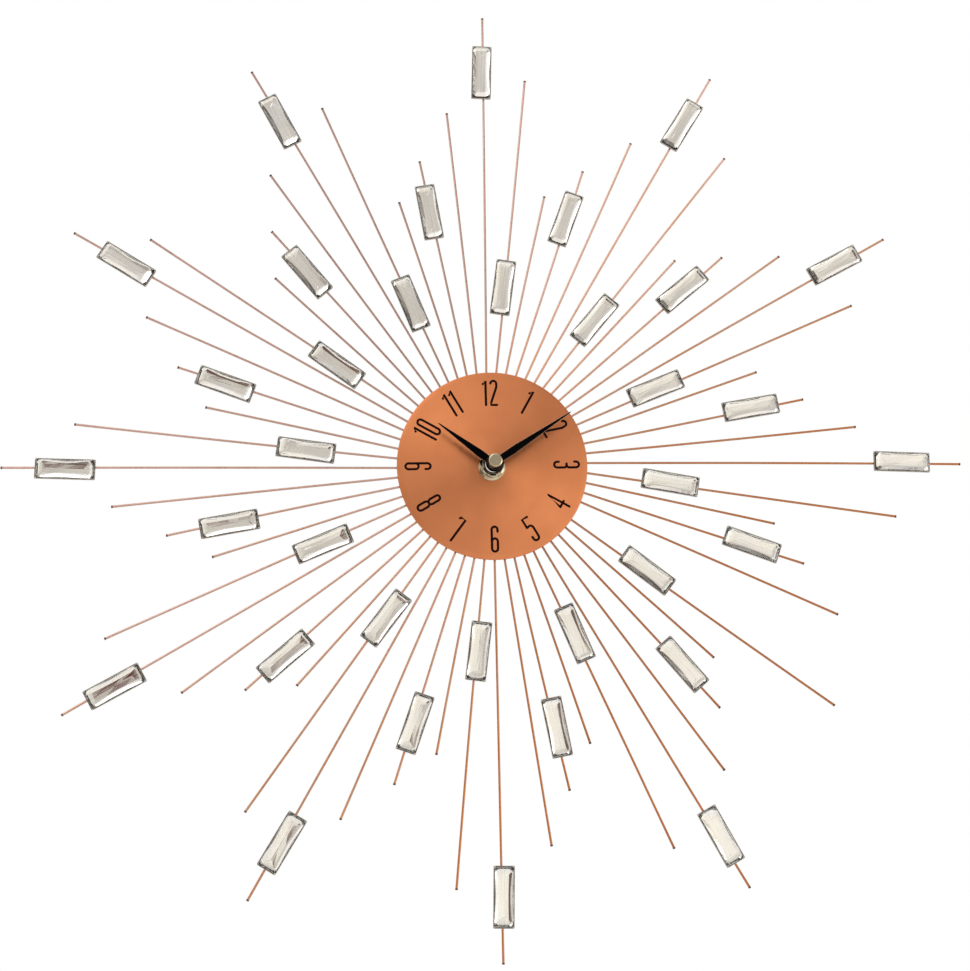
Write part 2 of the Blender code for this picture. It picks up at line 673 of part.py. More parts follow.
def motion_works():
    """Cannon pinion on the minute arbor, motion wheel, hour wheel on its pipe, and the setting knob."""
    arbor = rod("minute_arbor", ARBOR_RADIUS, THIRD_LAYER[1] + GAP, ARBOR_FRONT, COARSE)
    cannon = toothed("cannon_pinion", CANNON_PINION, (MOTION_LAYER[0] - 0.2, MOTION_LAYER[1] + 0.1), 0)
    bore = rod("arbor_bore", ARBOR_BORE, THIRD_LAYER[1] - 1, ARBOR_FRONT + 1, TINY)
    combine(arbor, helper(cannon), "UNION")
    combine(arbor, helper(bore), "DIFFERENCE")
    place(arbor, finish=STEEL)

    motion_phase = meshing_phase(CANNON_PINION, 0, MOTION_WHEEL, MOTION_DIRECTION)
    wheel_and_pinion(
        "motion_wheel",
        MOTION_AXLE,
        MOTION_WHEEL,
        MOTION_LAYER,
        motion_phase,
        MOTION_PINION,
        (MOTION_LAYER[1] - 0.1, HOUR_LAYER[1]),
        0,
        STUD_BORE,
    )

    hour_phase = meshing_phase(MOTION_PINION, 0, HOUR_WHEEL, MOTION_DIRECTION - 180)
    wheel = toothed("hour_wheel", HOUR_WHEEL, HOUR_LAYER, hour_phase)
    pipe = rod("hour_pipe", HOUR_PIPE_RADIUS, HOUR_LAYER[0] + 0.3, HOUR_PIPE_FRONT, 32)
    pipe_bore = rod("hour_pipe_bore", HOUR_PIPE_BORE, HOUR_LAYER[0] - 1, HOUR_PIPE_FRONT + 1, COARSE)
    combine(wheel, helper(pipe), "UNION")
    combine(wheel, helper(pipe_bore), "DIFFERENCE")
    place(wheel, finish=BRASS)

    knob_phase = meshing_phase(MOTION_WHEEL, motion_phase, KNOB_PINION, KNOB_DIRECTION)
    profile = [
        (0, CASE_FRONT - FRONT_WALL + 0.7),
        (STUD_RADIUS, CASE_FRONT - FRONT_WALL + 0.7),
        (STUD_RADIUS, MOTION_LAYER[1]),
        (0.9, MOTION_LAYER[1]),
        (0.9, 2.4),
        (KNOB_RADIUS, 2.4),
        (KNOB_RADIUS, 0.9),
        (KNOB_RADIUS - 1.0, 0.9),
        (KNOB_RADIUS - 1.6, 0.2),
        (0, 0.2),
    ]
    knob = turned("setting_knob", profile, steps=32)
    leaves = toothed("knob_pinion", KNOB_PINION, (MOTION_LAYER[0] - 0.1, MOTION_LAYER[1] + 0.1), knob_phase)
    combine(knob, helper(leaves, KNOB_AXLE), "UNION")
    place(knob, KNOB_AXLE, WHITE_PLASTIC)


def going_train():
    """Rotor, intermediate, seconds, third and centre wheels."""
    centre_phase = meshing_phase(THIRD_PINION, 0, CENTRE_WHEEL, THIRD_DIRECTION - 180)
    centre = toothed("centre_wheel", CENTRE_WHEEL, CENTRE_LAYER, centre_phase)
    centre_bore = rod("centre_wheel_bore", ARBOR_RADIUS + 0.08, CENTRE_LAYER[0] - 1, CENTRE_LAYER[1] + 1, COARSE)
    combine(centre, helper(centre_bore), "DIFFERENCE")
    place(centre, finish=BRASS)

    third_phase = meshing_phase(SECONDS_PINION, 0, THIRD_WHEEL, THIRD_DIRECTION)
    wheel_and_pinion(
        "third_wheel",
        THIRD_AXLE,
        THIRD_WHEEL,
        THIRD_LAYER,
        third_phase,
        THIRD_PINION,
        (THIRD_LAYER[1] - 0.1, CENTRE_LAYER[1] + 0.1),
        0,
        STUD_BORE,
    )

    seconds = toothed("seconds_wheel", SECONDS_WHEEL, SECONDS_LAYER, 0)
    pinion = toothed("seconds_pinion", SECONDS_PINION, (SECONDS_LAYER[1] - 0.1, THIRD_LAYER[1] + 0.1), 0)
    arbor = rod("seconds_arbor", SECONDS_ARBOR_RADIUS, COVER_THICKNESS + 0.5, CAP_BACK - 0.5, TINY)
    combine(seconds, helper(pinion), "UNION")
    combine(seconds, helper(arbor), "UNION")
    place(seconds, finish=WHITE_PLASTIC)

    pinion_phase = meshing_phase(SECONDS_WHEEL, 0, INTERMEDIATE_PINION, INTERMEDIATE_DIRECTION)
    wheel_and_pinion(
        "intermediate_wheel",
        INTERMEDIATE_AXLE,
        INTERMEDIATE_WHEEL,
        INTERMEDIATE_LAYER,
        0,
        INTERMEDIATE_PINION,
        (INTERMEDIATE_LAYER[1] - 0.1, SECONDS_LAYER[1] + 0.1),
        pinion_phase,
        STUD_BORE,
    )

    rotor_phase = meshing_phase(INTERMEDIATE_WHEEL, 0, ROTOR_PINION, ROTOR_DIRECTION)
    rotor = rod("rotor", MAGNET_RADIUS, *MAGNET_LAYER, COARSE)
    rotor_pinion = toothed("rotor_pinion", ROTOR_PINION, (MAGNET_LAYER[1] - 0.1, INTERMEDIATE_LAYER[1] + 0.1), rotor_phase)
    rotor_bore = rod("rotor_bore", ROTOR_STUD_BORE, MAGNET_LAYER[0] - 1, INTERMEDIATE_LAYER[1] + 1, TINY)
    combine(rotor, helper(rotor_pinion, ROTOR_AXLE), "UNION")
    combine(rotor, helper(rotor_bore, ROTOR_AXLE), "DIFFERENCE")
    place(rotor, ROTOR_AXLE, STEEL)


CORE_TOP = 22.4
CORE_BOTTOM = 20.4
LEG_BOTTOM = 10.0
POLE_TOP = 12.0
COIL_HALF_HEIGHT = 3.0


def stepping_motor():
    """The stator is one stamped loop: poles round the rotor, two legs, and the core that the coil is wound on."""
    x, y = ROTOR_AXLE
    outer = [
        (x - 3.7, y - 3.5),
        (x + 3.7, y - 3.5),
        (x + 3.7, LEG_BOTTOM),
        (24.0, LEG_BOTTOM),
        (24.0, CORE_TOP),
        (5.0, CORE_TOP),
        (5.0, LEG_BOTTOM),
        (x - 3.7, LEG_BOTTOM),
    ]
    window = [(7.0, POLE_TOP), (22.0, POLE_TOP), (22.0, CORE_BOTTOM), (7.0, CORE_BOTTOM)]
    place(flat("stator", [outer, window, circle(MAGNET_RADIUS + 0.6, ROTOR_AXLE)], *STATOR_LAYER), finish=STEEL)

    middle = (CORE_TOP + CORE_BOTTOM) / 2
    coil = block("coil", (7.5, middle - COIL_HALF_HEIGHT, 1.6), (21.5, middle + COIL_HALF_HEIGHT, 5.6))
    low, high = STATOR_LAYER
    tunnel = block("coil_tunnel", (6.5, CORE_BOTTOM - GAP, low - GAP), (22.5, CORE_TOP + GAP, high + GAP))
    combine(coil, helper(tunnel), "DIFFERENCE")
    place(coil, finish=COIL_WIRE)


def circuit_board():
    """A small board with the moulded chip and the quartz crystal's can on it."""
    board = block("circuit_board", (-25.5, 13.5, 2.2), (-1.0, 25.5, 3.0))
    chip = rod("chip", 2.6, 2.9, 4.2, TINY)
    can = block("quartz_can", (-23.0, 21.5, 2.9), (-16.0, 24.0, 5.2))
    combine(board, helper(chip, (-8.0, 19.5)), "UNION")
    combine(board, helper(can), "UNION")
    place(board, finish=BOARD_GREEN)


def battery_and_contacts():
    """The battery lies across the bay, button to the right, between two sprung strips."""
    bay_middle = (DIVIDER_BOTTOM - CASE_SIDE / 2 + CASE_WALL) / 2
    start = -BATTERY_BODY / 2
    nub_end = BATTERY_BODY / 2 + BATTERY_NUB
    profile = [
        (0, nub_end),
        (2.7, nub_end),
        (2.7, BATTERY_BODY / 2),
        (BATTERY_RADIUS - 0.6, BATTERY_BODY / 2),
        (BATTERY_RADIUS, BATTERY_BODY / 2 - 0.6),
        (BATTERY_RADIUS, start),
        (0, start),
    ]
    battery = turned("battery", profile, steps=32)
    place(battery, (-0.3, bay_middle), BATTERY_WRAP)
    battery.location.z = mm(BATTERY_HEIGHT)
    battery.rotation_euler = (0, math.pi / 2, 0)

    left = -BAY_HALF_LENGTH + GAP
    right = BAY_HALF_LENGTH - GAP
    negative = block("battery_contact_negative", (left, bay_middle - 5, 2), (left + 0.5, bay_middle + 5, 14))
    positive = block("battery_contact_positive", (right - 0.5, bay_middle - 4, 2), (right, bay_middle + 4, 14))
    place(negative, finish=STEEL)
    place(positive, finish=STEEL)


# ---------------------------------------------------------------- assembly

ray_frame()
crystals()
dial()
fixings()
hands()
movement_case()
rear_cover()
motion_works()
going_train()
stepping_motor()
circuit_board()
battery_and_contacts()
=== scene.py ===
"""Looks of the sunburst wall clock: soldered copper rays, foiled crystals in cups, a spun copper dial with
printed numerals, black lance hands on their boss, washer and nut, and the moulded quartz movement behind.

Pieces are designed in the face frame, in millimetres: x to the right, y up, z from the wall towards the viewer,
with the hands' axis at x = y = 0. FACE carries that frame into the row frame, in metres.
"""

import json
import math
import random

import bmesh
import bpy
from mathutils import Matrix, Vector

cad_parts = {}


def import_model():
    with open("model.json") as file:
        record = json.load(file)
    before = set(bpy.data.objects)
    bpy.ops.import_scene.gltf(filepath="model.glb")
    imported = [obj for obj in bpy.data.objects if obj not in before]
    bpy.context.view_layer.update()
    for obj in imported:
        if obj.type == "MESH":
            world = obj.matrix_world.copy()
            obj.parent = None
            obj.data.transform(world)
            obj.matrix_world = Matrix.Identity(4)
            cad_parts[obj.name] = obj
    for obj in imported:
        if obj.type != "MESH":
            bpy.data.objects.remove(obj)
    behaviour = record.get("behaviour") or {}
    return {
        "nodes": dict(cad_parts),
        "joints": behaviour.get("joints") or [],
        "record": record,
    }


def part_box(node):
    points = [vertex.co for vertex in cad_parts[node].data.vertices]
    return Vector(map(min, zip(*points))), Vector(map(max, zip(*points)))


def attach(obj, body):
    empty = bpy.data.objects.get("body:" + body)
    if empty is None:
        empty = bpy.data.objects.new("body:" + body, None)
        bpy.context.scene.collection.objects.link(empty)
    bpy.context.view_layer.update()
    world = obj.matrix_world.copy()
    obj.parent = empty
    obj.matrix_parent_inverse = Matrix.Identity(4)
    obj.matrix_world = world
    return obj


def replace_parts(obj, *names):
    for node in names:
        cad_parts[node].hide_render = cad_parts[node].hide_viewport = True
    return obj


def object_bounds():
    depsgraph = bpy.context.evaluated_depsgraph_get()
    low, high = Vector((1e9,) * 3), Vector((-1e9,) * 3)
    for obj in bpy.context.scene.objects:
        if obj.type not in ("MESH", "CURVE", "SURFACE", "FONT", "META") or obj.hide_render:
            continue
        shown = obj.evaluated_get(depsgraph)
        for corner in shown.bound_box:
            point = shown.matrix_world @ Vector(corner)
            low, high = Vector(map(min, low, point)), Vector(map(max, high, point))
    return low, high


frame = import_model()
cad_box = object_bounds()

# ---------------------------------------------------------------- places, from the frame

MM = 0.001


def axis_height():
    """Height of the hands' axis, from the joint of the minute hand."""
    return next(j["pos_m"][2] for j in frame["joints"] if j["name"] == "minute_hand_spin")


FACE = Matrix.Translation((0, 0, axis_height())) @ Matrix.Rotation(math.pi / 2, 4, "X") @ Matrix.Scale(MM, 4)
TO_FACE = FACE.inverted()


def face_box(node):
    """Lowest and highest corner of a CAD node in the face frame, in millimetres."""
    low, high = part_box(node)
    a, b = TO_FACE @ low, TO_FACE @ high
    return Vector(map(min, a, b)), Vector(map(max, a, b))


def middle(node):
    low, high = face_box(node)
    return (low + high) / 2


DIAL_CENTRE = middle("dial").xy
DIAL_RADIUS = (face_box("dial")[1] - face_box("dial")[0]).x / 2
DIAL_BACK, DIAL_FRONT = face_box("dial")[0].z, face_box("dial")[1].z
PLATE_BACK = face_box("ray_frame")[0].z

# The rays, as the frame has them: places are minute marks, and a place's remainder by 5 says what stands there.
PLACES = 60
EMPTY_PLACE = 20
WIRE_RADIUS = 0.6
RAY_HEIGHT = PLATE_BACK + 1.55
RAY_REACH = {0: 250.0, 1: 215.0, 2: 151.0, 3: 170.5, 4: 195.5}
CRYSTAL_CENTRE = {0: 217.7, 1: 96.5, 3: 141.2}
CRYSTAL_ROW = {0: "outer", 1: "inner", 3: "middle"}
ROOT_RADIUS = 50.0
ROOT_TURN = -3.0
TIP_TURN = -1.75
SOLDERED_LENGTH = 11.0
# Hand work: the roots are soldered on a ring that sits a little off centre, a few rays lean, and a few cups sit
# further out or further in on their wires.
ROOT_SWAY = 1.1  # degrees
ROOT_SWAY_PLACE = 32  # where the roots stand furthest clockwise
LEAN = 1.5  # degrees
LEANING_CLOCKWISE = (6, 16)
LEANING_ANTICLOCKWISE = (12, 29, 51)
CUP_SLIDE = 3.0
CUPS_FURTHER_OUT = (25, 38, 40, 48)
CUPS_FURTHER_IN = (16, 28, 33, 43)
CUP_LENGTH = 30.3
CUP_WIDTH = 10.6
CUP_DEPTH = 1.5
CUP_BACK = RAY_HEIGHT + 0.45
CUP_TURN = 1.7
CUP_ASIDE = 0.9


def either(number, raised, lowered, amount):
    """The amount for a place in the first list, its opposite for one in the second, and otherwise nothing."""
    return amount * ((number in raised) - (number in lowered))


def on_face(radius, clockwise):
    angle = math.radians(90 - clockwise)
    return DIAL_CENTRE + radius * Vector((math.cos(angle), math.sin(angle)))


def ray_line(number):
    """The ray's root, its tip and its direction."""
    angle = 360 * number / PLACES
    sway = ROOT_SWAY * math.cos(math.radians(angle - 360 * ROOT_SWAY_PLACE / PLACES))
    lean = either(number, LEANING_CLOCKWISE, LEANING_ANTICLOCKWISE, LEAN)
    root = on_face(ROOT_RADIUS, angle + ROOT_TURN + sway)
    tip = on_face(RAY_REACH[number % 5], angle + TIP_TURN + lean)
    return root, tip, (tip - root).normalized()


def cup_matrix(number):
    """The cup's own frame in the face frame: x along the cup, outwards, and z forwards from its back."""
    root, _, along = ray_line(number)
    slide = either(number, CUPS_FURTHER_OUT, CUPS_FURTHER_IN, CUP_SLIDE)
    distance = CRYSTAL_CENTRE[number % 5] + slide - ROOT_RADIUS
    aside = Vector((-along.y, along.x)) * CUP_ASIDE
    centre = root + along * distance + aside
    turn = math.atan2(along.y, along.x) - math.radians(CUP_TURN)
    return Matrix.Translation((*centre, CUP_BACK)) @ Matrix.Rotation(turn, 4, "Z")


STANDING = [number for number in range(1, PLACES + 1) if number != EMPTY_PLACE]
CRYSTALS = [number for number in STANDING if number % 5 in CRYSTAL_CENTRE]


def hour_of(number):
    return (number // 5 - 1) % 12 + 1


# ---------------------------------------------------------------- material helpers


class Nodes:
    """A short way to write a node tree."""

    def __init__(self, name):
        self.material = bpy.data.materials.new(name)
        self.material.use_nodes = True
        self.tree = self.material.node_tree
        self.shader = self.tree.nodes["Principled BSDF"]

    def add(self, kind, **settings):
        node = self.tree.nodes.new(kind)
        for key, value in settings.items():
            setattr(node, key, value)
        return node

    def link(self, source, target):
        self.tree.links.new(source, target)
        return target

    def set(self, **values):
        """Sets sockets of the Principled shader, named with underscores for spaces."""
        for key, value in values.items():
            self.shader.inputs[key.replace("_", " ")].default_value = value
        return self

    def coordinates(self, kind="Object", scale=(1, 1, 1)):
        source = self.add("ShaderNodeTexCoord")
        mapping = self.add("ShaderNodeMapping")
        mapping.inputs["Scale"].default_value = scale
        self.link(source.outputs[kind], mapping.inputs["Vector"])
        return mapping.outputs["Vector"]

    def noise(self, vector, scale, detail=3.0, roughness=0.5):
        node = self.add("ShaderNodeTexNoise")
        node.inputs["Scale"].default_value = scale
        node.inputs["Detail"].default_value = detail
        node.inputs["Roughness"].default_value = roughness
        self.link(vector, node.inputs["Vector"])
        return node.outputs["Fac"]

    def ramp(self, factor, stops, mode="LINEAR"):
        """Colours by position: each stop is (position, (r, g, b))."""
        node = self.add("ShaderNodeValToRGB")
        node.color_ramp.interpolation = mode
        while len(node.color_ramp.elements) < len(stops):
            node.color_ramp.elements.new(0.5)
        for element, (position, colour) in zip(node.color_ramp.elements, stops):
            element.position = position
            element.color = (*colour, 1)
        self.link(factor, node.inputs["Fac"])
        return node.outputs["Color"]

    def span(self, factor, low, high, from_low=0.0, from_high=1.0):
        node = self.add("ShaderNodeMapRange")
        node.inputs["From Min"].default_value = from_low
        node.inputs["From Max"].default_value = from_high
        node.inputs["To Min"].default_value = low
        node.inputs["To Max"].default_value = high
        self.link(factor, node.inputs["Value"])
        return node.outputs["Result"]

    def math(self, operation, first, second=0.0, clamp=False):
        node = self.add("ShaderNodeMath", operation=operation, use_clamp=clamp)
        for slot, value in zip(node.inputs, (first, second)):
            if isinstance(value, (int, float)):
                slot.default_value = value
            else:
                self.link(value, slot)
        return node.outputs["Value"]

    def mix(self, factor, first, second, blend="MIX"):
        node = self.add("ShaderNodeMix", data_type="RGBA", blend_type=blend)
        for key, value in (("Factor", factor), ("A", first), ("B", second)):
            slot = next(i for i in node.inputs if i.name == key and i.enabled)
            if isinstance(value, (int, float)):
                slot.default_value = value
            elif isinstance(value, tuple):
                slot.default_value = (*value, 1)
            else:
                self.link(value, slot)
        return next(o for o in node.outputs if o.enabled)

    def bump(self, height, depth):
        """Relief of this depth, in millimetres, between the lowest and the highest value."""
        node = self.add("ShaderNodeBump")
        node.inputs["Strength"].default_value = 1.0
        node.inputs["Distance"].default_value = depth * MM
        self.link(height, node.inputs["Height"])
        self.link(node.outputs["Normal"], self.shader.inputs["Normal"])

    def colour(self, output):
        self.link(output, self.shader.inputs["Base Color"])

    def roughness(self, output):
        self.link(output, self.shader.inputs["Roughness"])


def copper_wire_material():
    """Thin copper plating on drawn wire. Its tone runs from a pale mauve grey at the upper left of the clock to a
    deep orange brown at the lower right,
    a painted light: cool light falling from the upper left and warm light from the lower right; over that lie
    cloudy tarnish and fine draw marks."""
    n = Nodes("copper_wire_look")
    n.set(Metallic=1.0)
    place = n.coordinates()
    split = n.add("ShaderNodeSeparateXYZ")
    n.link(place, split.inputs["Vector"])
    # Painted light: a gradient across the clock, pale mauve at the upper left to deep orange brown at the lower
    # right.
    across = n.span(n.math("SUBTRACT", split.outputs["X"], split.outputs["Y"]), 0.0, 1.0, -270, 270)
    cloud = n.noise(place, 0.02, 2)
    drift = n.math("ADD", across, n.span(cloud, -0.12, 0.12, 0.3, 0.7))
    fine = n.noise(place, 0.9, 3, 0.5)
    tone = n.ramp(drift, WIRE_PAINTED_LIGHT_TONES)
    spots = n.ramp(fine, [(0.3, (0.72, 0.58, 0.52)), (0.46, (1, 1, 1))])
    n.colour(n.mix(0.5, tone, spots, "MULTIPLY"))
    n.roughness(n.span(fine, 0.26, 0.36, 0.3, 0.7))
    n.bump(fine, 0.004)
    return n.material


# Painted light on the wires: first the cool-lit upper left, last the warm-lit lower right.
WIRE_PAINTED_LIGHT_TONES = [
    (0.05, (0.57, 0.37, 0.32)),
    (0.35, (0.53, 0.34, 0.275)),
    (0.60, (0.50, 0.265, 0.16)),
    (0.85, (0.50, 0.195, 0.080)),
]


def cut_end_material():
    """The steel core at a cut wire end, browned."""
    n = Nodes("cut_end_look")
    n.set(Metallic=0.8)
    grain = n.noise(n.coordinates(), 3.0, 3)
    n.colour(n.ramp(grain, [(0.35, (0.06, 0.03, 0.02)), (0.65, (0.20, 0.10, 0.07))]))
    n.roughness(n.span(grain, 0.4, 0.65))
    return n.material


def solder_material():
    n = Nodes("solder_look")
    n.set(Metallic=1.0)
    grain = n.noise(n.coordinates(), 0.9, 4, 0.6)
    n.colour(n.ramp(grain, [(0.3, (0.30, 0.16, 0.11)), (0.6, (0.62, 0.38, 0.28)), (0.8, (0.66, 0.52, 0.44))]))
    n.roughness(n.span(grain, 0.25, 0.5))
    n.bump(grain, 0.12)
    return n.material


def cup_material():
    """Pressed sheet, grey-brown nickelled copper: dull, in cloudy patches."""
    n = Nodes("cup_look")
    n.set(Metallic=1.0)
    place = n.coordinates()
    cloud = n.noise(place, 0.25, 3)
    fine = n.noise(place, 2.2, 4, 0.6)
    tone = n.ramp(cloud, [(0.3, (0.34, 0.31, 0.27)), (0.55, (0.43, 0.39, 0.35)), (0.75, (0.54, 0.49, 0.44))])
    n.colour(n.mix(0.35, tone, n.ramp(fine, [(0.35, (0.55, 0.48, 0.44)), (0.6, (1, 1, 1))]), "MULTIPLY"))
    n.roughness(n.span(fine, 0.25, 0.42, 0.3, 0.7))
    n.bump(fine, 0.01)
    return n.material


def foil_material():
    """The silvered back of a stone: nearly a mirror, in long faint bands, a little yellowed towards one end."""
    n = Nodes("foil_look")
    n.set(Metallic=1.0)
    bands = n.noise(n.coordinates(scale=(0.02, 0.55, 0.2)), 1.5, 3)
    drift = n.noise(n.coordinates(), 0.06, 1)
    tone = n.ramp(bands, [(0.3, (0.80, 0.78, 0.76)), (0.5, (0.88, 0.87, 0.85)), (0.7, (0.94, 0.93, 0.91))])
    tint = n.ramp(drift, [(0.35, (1.0, 0.985, 0.955)), (0.65, (0.985, 0.99, 1.0))])
    n.colour(n.mix(1.0, tone, tint, "MULTIPLY"))
    n.roughness(n.span(bands, 0.05, 0.16, 0.3, 0.7))
    return n.material


def stone_material():
    """Clear cut glass, with the faintest haze."""
    n = Nodes("stone_look")
    n.set(Transmission_Weight=1.0, IOR=1.5)
    haze = n.noise(n.coordinates(), 0.35, 2)
    n.colour(n.ramp(haze, [(0.3, (0.965, 0.96, 0.955)), (0.7, (0.995, 0.995, 0.99))]))
    n.roughness(n.span(haze, 0.0, 0.02))
    return n.material


def dial_material():
    """Spun copper: a lacquered disc turned to fine rings about its centre, which draw light out into wedges."""
    n = Nodes("dial_look")
    n.set(Metallic=1.0, Coat_Weight=0.35, Coat_Roughness=0.25)
    place = n.coordinates()
    split = n.add("ShaderNodeSeparateXYZ")
    n.link(place, split.inputs["Vector"])
    flat = n.add("ShaderNodeCombineXYZ")
    n.link(split.outputs["X"], flat.inputs["X"])
    n.link(split.outputs["Y"], flat.inputs["Y"])
    length = n.add("ShaderNodeVectorMath", operation="LENGTH")
    n.link(flat.outputs["Vector"], length.inputs[0])
    radius = length.outputs["Value"]
    line = n.add("ShaderNodeCombineXYZ")
    n.link(radius, line.inputs["X"])
    rings = n.noise(line.outputs["Vector"], 3.2, 5, 0.7)
    broad = n.noise(line.outputs["Vector"], 0.35, 2)
    cloud = n.noise(place, 0.05, 2)
    copper = [(0.3, (0.66, 0.220, 0.083)), (0.5, (0.72, 0.250, 0.098)), (0.7, (0.77, 0.280, 0.115))]
    tone = n.ramp(rings, copper)
    worn = n.ramp(cloud, [(0.35, (0.92, 0.90, 0.88)), (0.65, (1, 1, 1))])
    n.colour(n.mix(1.0, tone, worn, "MULTIPLY"))
    n.roughness(n.span(n.math("ADD", rings, broad), 0.30, 0.46, 0.7, 1.3))
    n.bump(rings, 0.008)
    tangent = n.add("ShaderNodeTangent", direction_type="RADIAL", axis="Z")
    n.link(tangent.outputs["Tangent"], n.shader.inputs["Tangent"])
    n.set(Anisotropic=0.75, Anisotropic_Rotation=0.25)
    return n.material


def black_hand_material(name="hand_black_look", rough=0.34, coat=0.0):
    """Black enamel on thin brass: faint dust and a slight orange peel."""
    n = Nodes(name)
    n.set(Specular_IOR_Level=0.03, Coat_Weight=coat, Coat_Roughness=0.08)
    place = n.coordinates()
    peel = n.noise(place, 2.0, 3)
    dust = n.noise(place, 0.5, 5, 0.7)
    n.colour(n.ramp(dust, [(0.45, (0.0004, 0.0003, 0.0005)), (0.8, (0.0015, 0.0012, 0.0012))]))
    n.roughness(n.span(peel, rough - 0.05, rough + 0.05))
    n.bump(peel, 0.006)
    return n.material


def ink_material():
    """Screen ink, nearly black with a brown cast, matt and a little uneven."""
    n = Nodes("numeral_ink_look")
    n.set(Specular_IOR_Level=0.04)
    grain = n.noise(n.coordinates(), 3.0, 4, 0.6)
    n.colour(n.ramp(grain, [(0.3, (0.0050, 0.0010, 0.0014)), (0.7, (0.012, 0.0030, 0.0030))]))
    n.roughness(n.span(grain, 0.5, 0.7))
    n.bump(grain, 0.008)
    return n.material


def champagne_material():
    """Pale gold plating on turned brass: faint cloudiness and a few soft dull marks."""
    n = Nodes("champagne_look")
    n.set(Metallic=1.0)
    place = n.coordinates()
    cloud = n.noise(place, 0.22, 3)
    marks = n.noise(place, 0.8, 3, 0.5)
    tone = n.ramp(cloud, [(0.3, (0.42, 0.34, 0.22)), (0.5, (0.55, 0.47, 0.33)), (0.7, (0.68, 0.60, 0.45))])
    n.colour(n.mix(0.4, tone, n.ramp(marks, [(0.3, (0.45, 0.33, 0.22)), (0.55, (1, 1, 1))]), "MULTIPLY"))
    n.roughness(n.span(marks, 0.10, 0.20, 0.3, 0.7))
    n.bump(marks, 0.01)
    return n.material


def cap_face_material():
    """The cap's flat top, brushed dull."""
    n = Nodes("cap_face_look")
    n.set(Metallic=1.0)
    grain = n.noise(n.coordinates(scale=(0.6, 5.0, 1.0)), 1.6, 4, 0.6)
    n.colour(n.ramp(grain, [(0.3, (0.27, 0.225, 0.15)), (0.7, (0.40, 0.345, 0.245))]))
    n.roughness(n.span(grain, 0.34, 0.52))
    n.bump(grain, 0.01)
    return n.material


def plastic_material(name, dark, light, rough):
    """Moulded plastic with a fine spark-eroded texture."""
    n = Nodes(name)
    place = n.coordinates()
    grain = n.noise(place, 3.5, 4, 0.6)
    cloud = n.noise(place, 0.12, 2)
    n.colour(n.ramp(cloud, [(0.3, dark), (0.7, light)]))
    n.roughness(n.span(grain, rough - 0.08, rough + 0.08))
    n.bump(grain, 0.03)
    return n.material


def metal_material(name, dark, light, low, high, scale=(1, 1, 1)):
    """Plated or turned metal with a grain."""
    n = Nodes(name)
    n.set(Metallic=1.0)
    grain = n.noise(n.coordinates(scale=scale), 1.5, 4, 0.6)
    n.colour(n.ramp(grain, [(0.3, dark), (0.7, light)]))
    n.roughness(n.span(grain, low, high))
    n.bump(grain, 0.01)
    return n.material


COPPER_WIRE = copper_wire_material()
CUT_END = cut_end_material()
SOLDER = solder_material()
CUP = cup_material()
CUP_INSIDE = metal_material("cup_inside_look", (0.74, 0.72, 0.68), (0.86, 0.84, 0.80), 0.25, 0.4)
FOIL = foil_material()
STONE = stone_material()
DIAL = dial_material()
DIAL_EDGE = metal_material("dial_edge_look", (0.30, 0.10, 0.04), (0.45, 0.18, 0.08), 0.3, 0.45)
BLACK = black_hand_material()
BOSS_BLACK = black_hand_material("boss_black_look", 0.2, 0.35)
# Painted highlight: pale copper metal on the hands' upper bevels, standing for light caught along their black
# edges.
HAND_EDGE_HIGHLIGHT = metal_material("hand_edge_highlight_look", (0.36, 0.20, 0.14), (0.52, 0.32, 0.23), 0.3, 0.45)
# Painted highlight: a near-white metal for the glint arc on the hour hand's boss.
GLINT_METAL = metal_material("painted_glint_collar_look", (0.78, 0.76, 0.73), (0.9, 0.89, 0.87), 0.06, 0.14)
INK = ink_material()
CHAMPAGNE = champagne_material()
CAP_FACE = cap_face_material()
CASE_PLASTIC = plastic_material("case_plastic_look", (0.016, 0.016, 0.017), (0.026, 0.026, 0.028), 0.5)
WHITE_PLASTIC = plastic_material("white_plastic_look", (0.72, 0.72, 0.69), (0.80, 0.80, 0.78), 0.4)
STEEL = metal_material("steel_look", (0.42, 0.42, 0.42), (0.62, 0.62, 0.61), 0.2, 0.36, (0.5, 4, 1))
BRASS = metal_material("brass_look", (0.62, 0.44, 0.17), (0.76, 0.58, 0.28), 0.2, 0.36)
COIL_COPPER = metal_material("coil_look", (0.34, 0.10, 0.03), (0.58, 0.24, 0.09), 0.3, 0.45, (8, 1, 1))
BOARD = plastic_material("board_look", (0.012, 0.10, 0.045), (0.02, 0.15, 0.07), 0.35)
CELL_WRAP = plastic_material("cell_wrap_look", (0.04, 0.05, 0.075), (0.06, 0.075, 0.11), 0.3)
CELL_BAND = plastic_material("cell_band_look", (0.50, 0.36, 0.16), (0.58, 0.43, 0.21), 0.3)

# ---------------------------------------------------------------- shape helpers


def piece(name, bm, body, materials, smooth=35, matrix=None):
    """Makes a mesh in millimetres into a piece in place, riding on its body."""
    mesh = bpy.data.meshes.new(name)
    bm.to_mesh(mesh)
    bm.free()
    for finish in materials:
        mesh.materials.append(finish)
    if smooth is not None:
        mesh.shade_smooth()
        mesh.set_sharp_from_angle(angle=math.radians(smooth))
    return put(name, mesh, body, matrix)


def put(name, mesh, body, matrix=None):
    """Puts a mesh, which other pieces may share, in place as a piece."""
    obj = bpy.data.objects.new(name, mesh)
    bpy.context.scene.collection.objects.link(obj)
    obj.matrix_world = FACE @ (matrix or Matrix.Identity(4))
    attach(obj, body)
    return obj


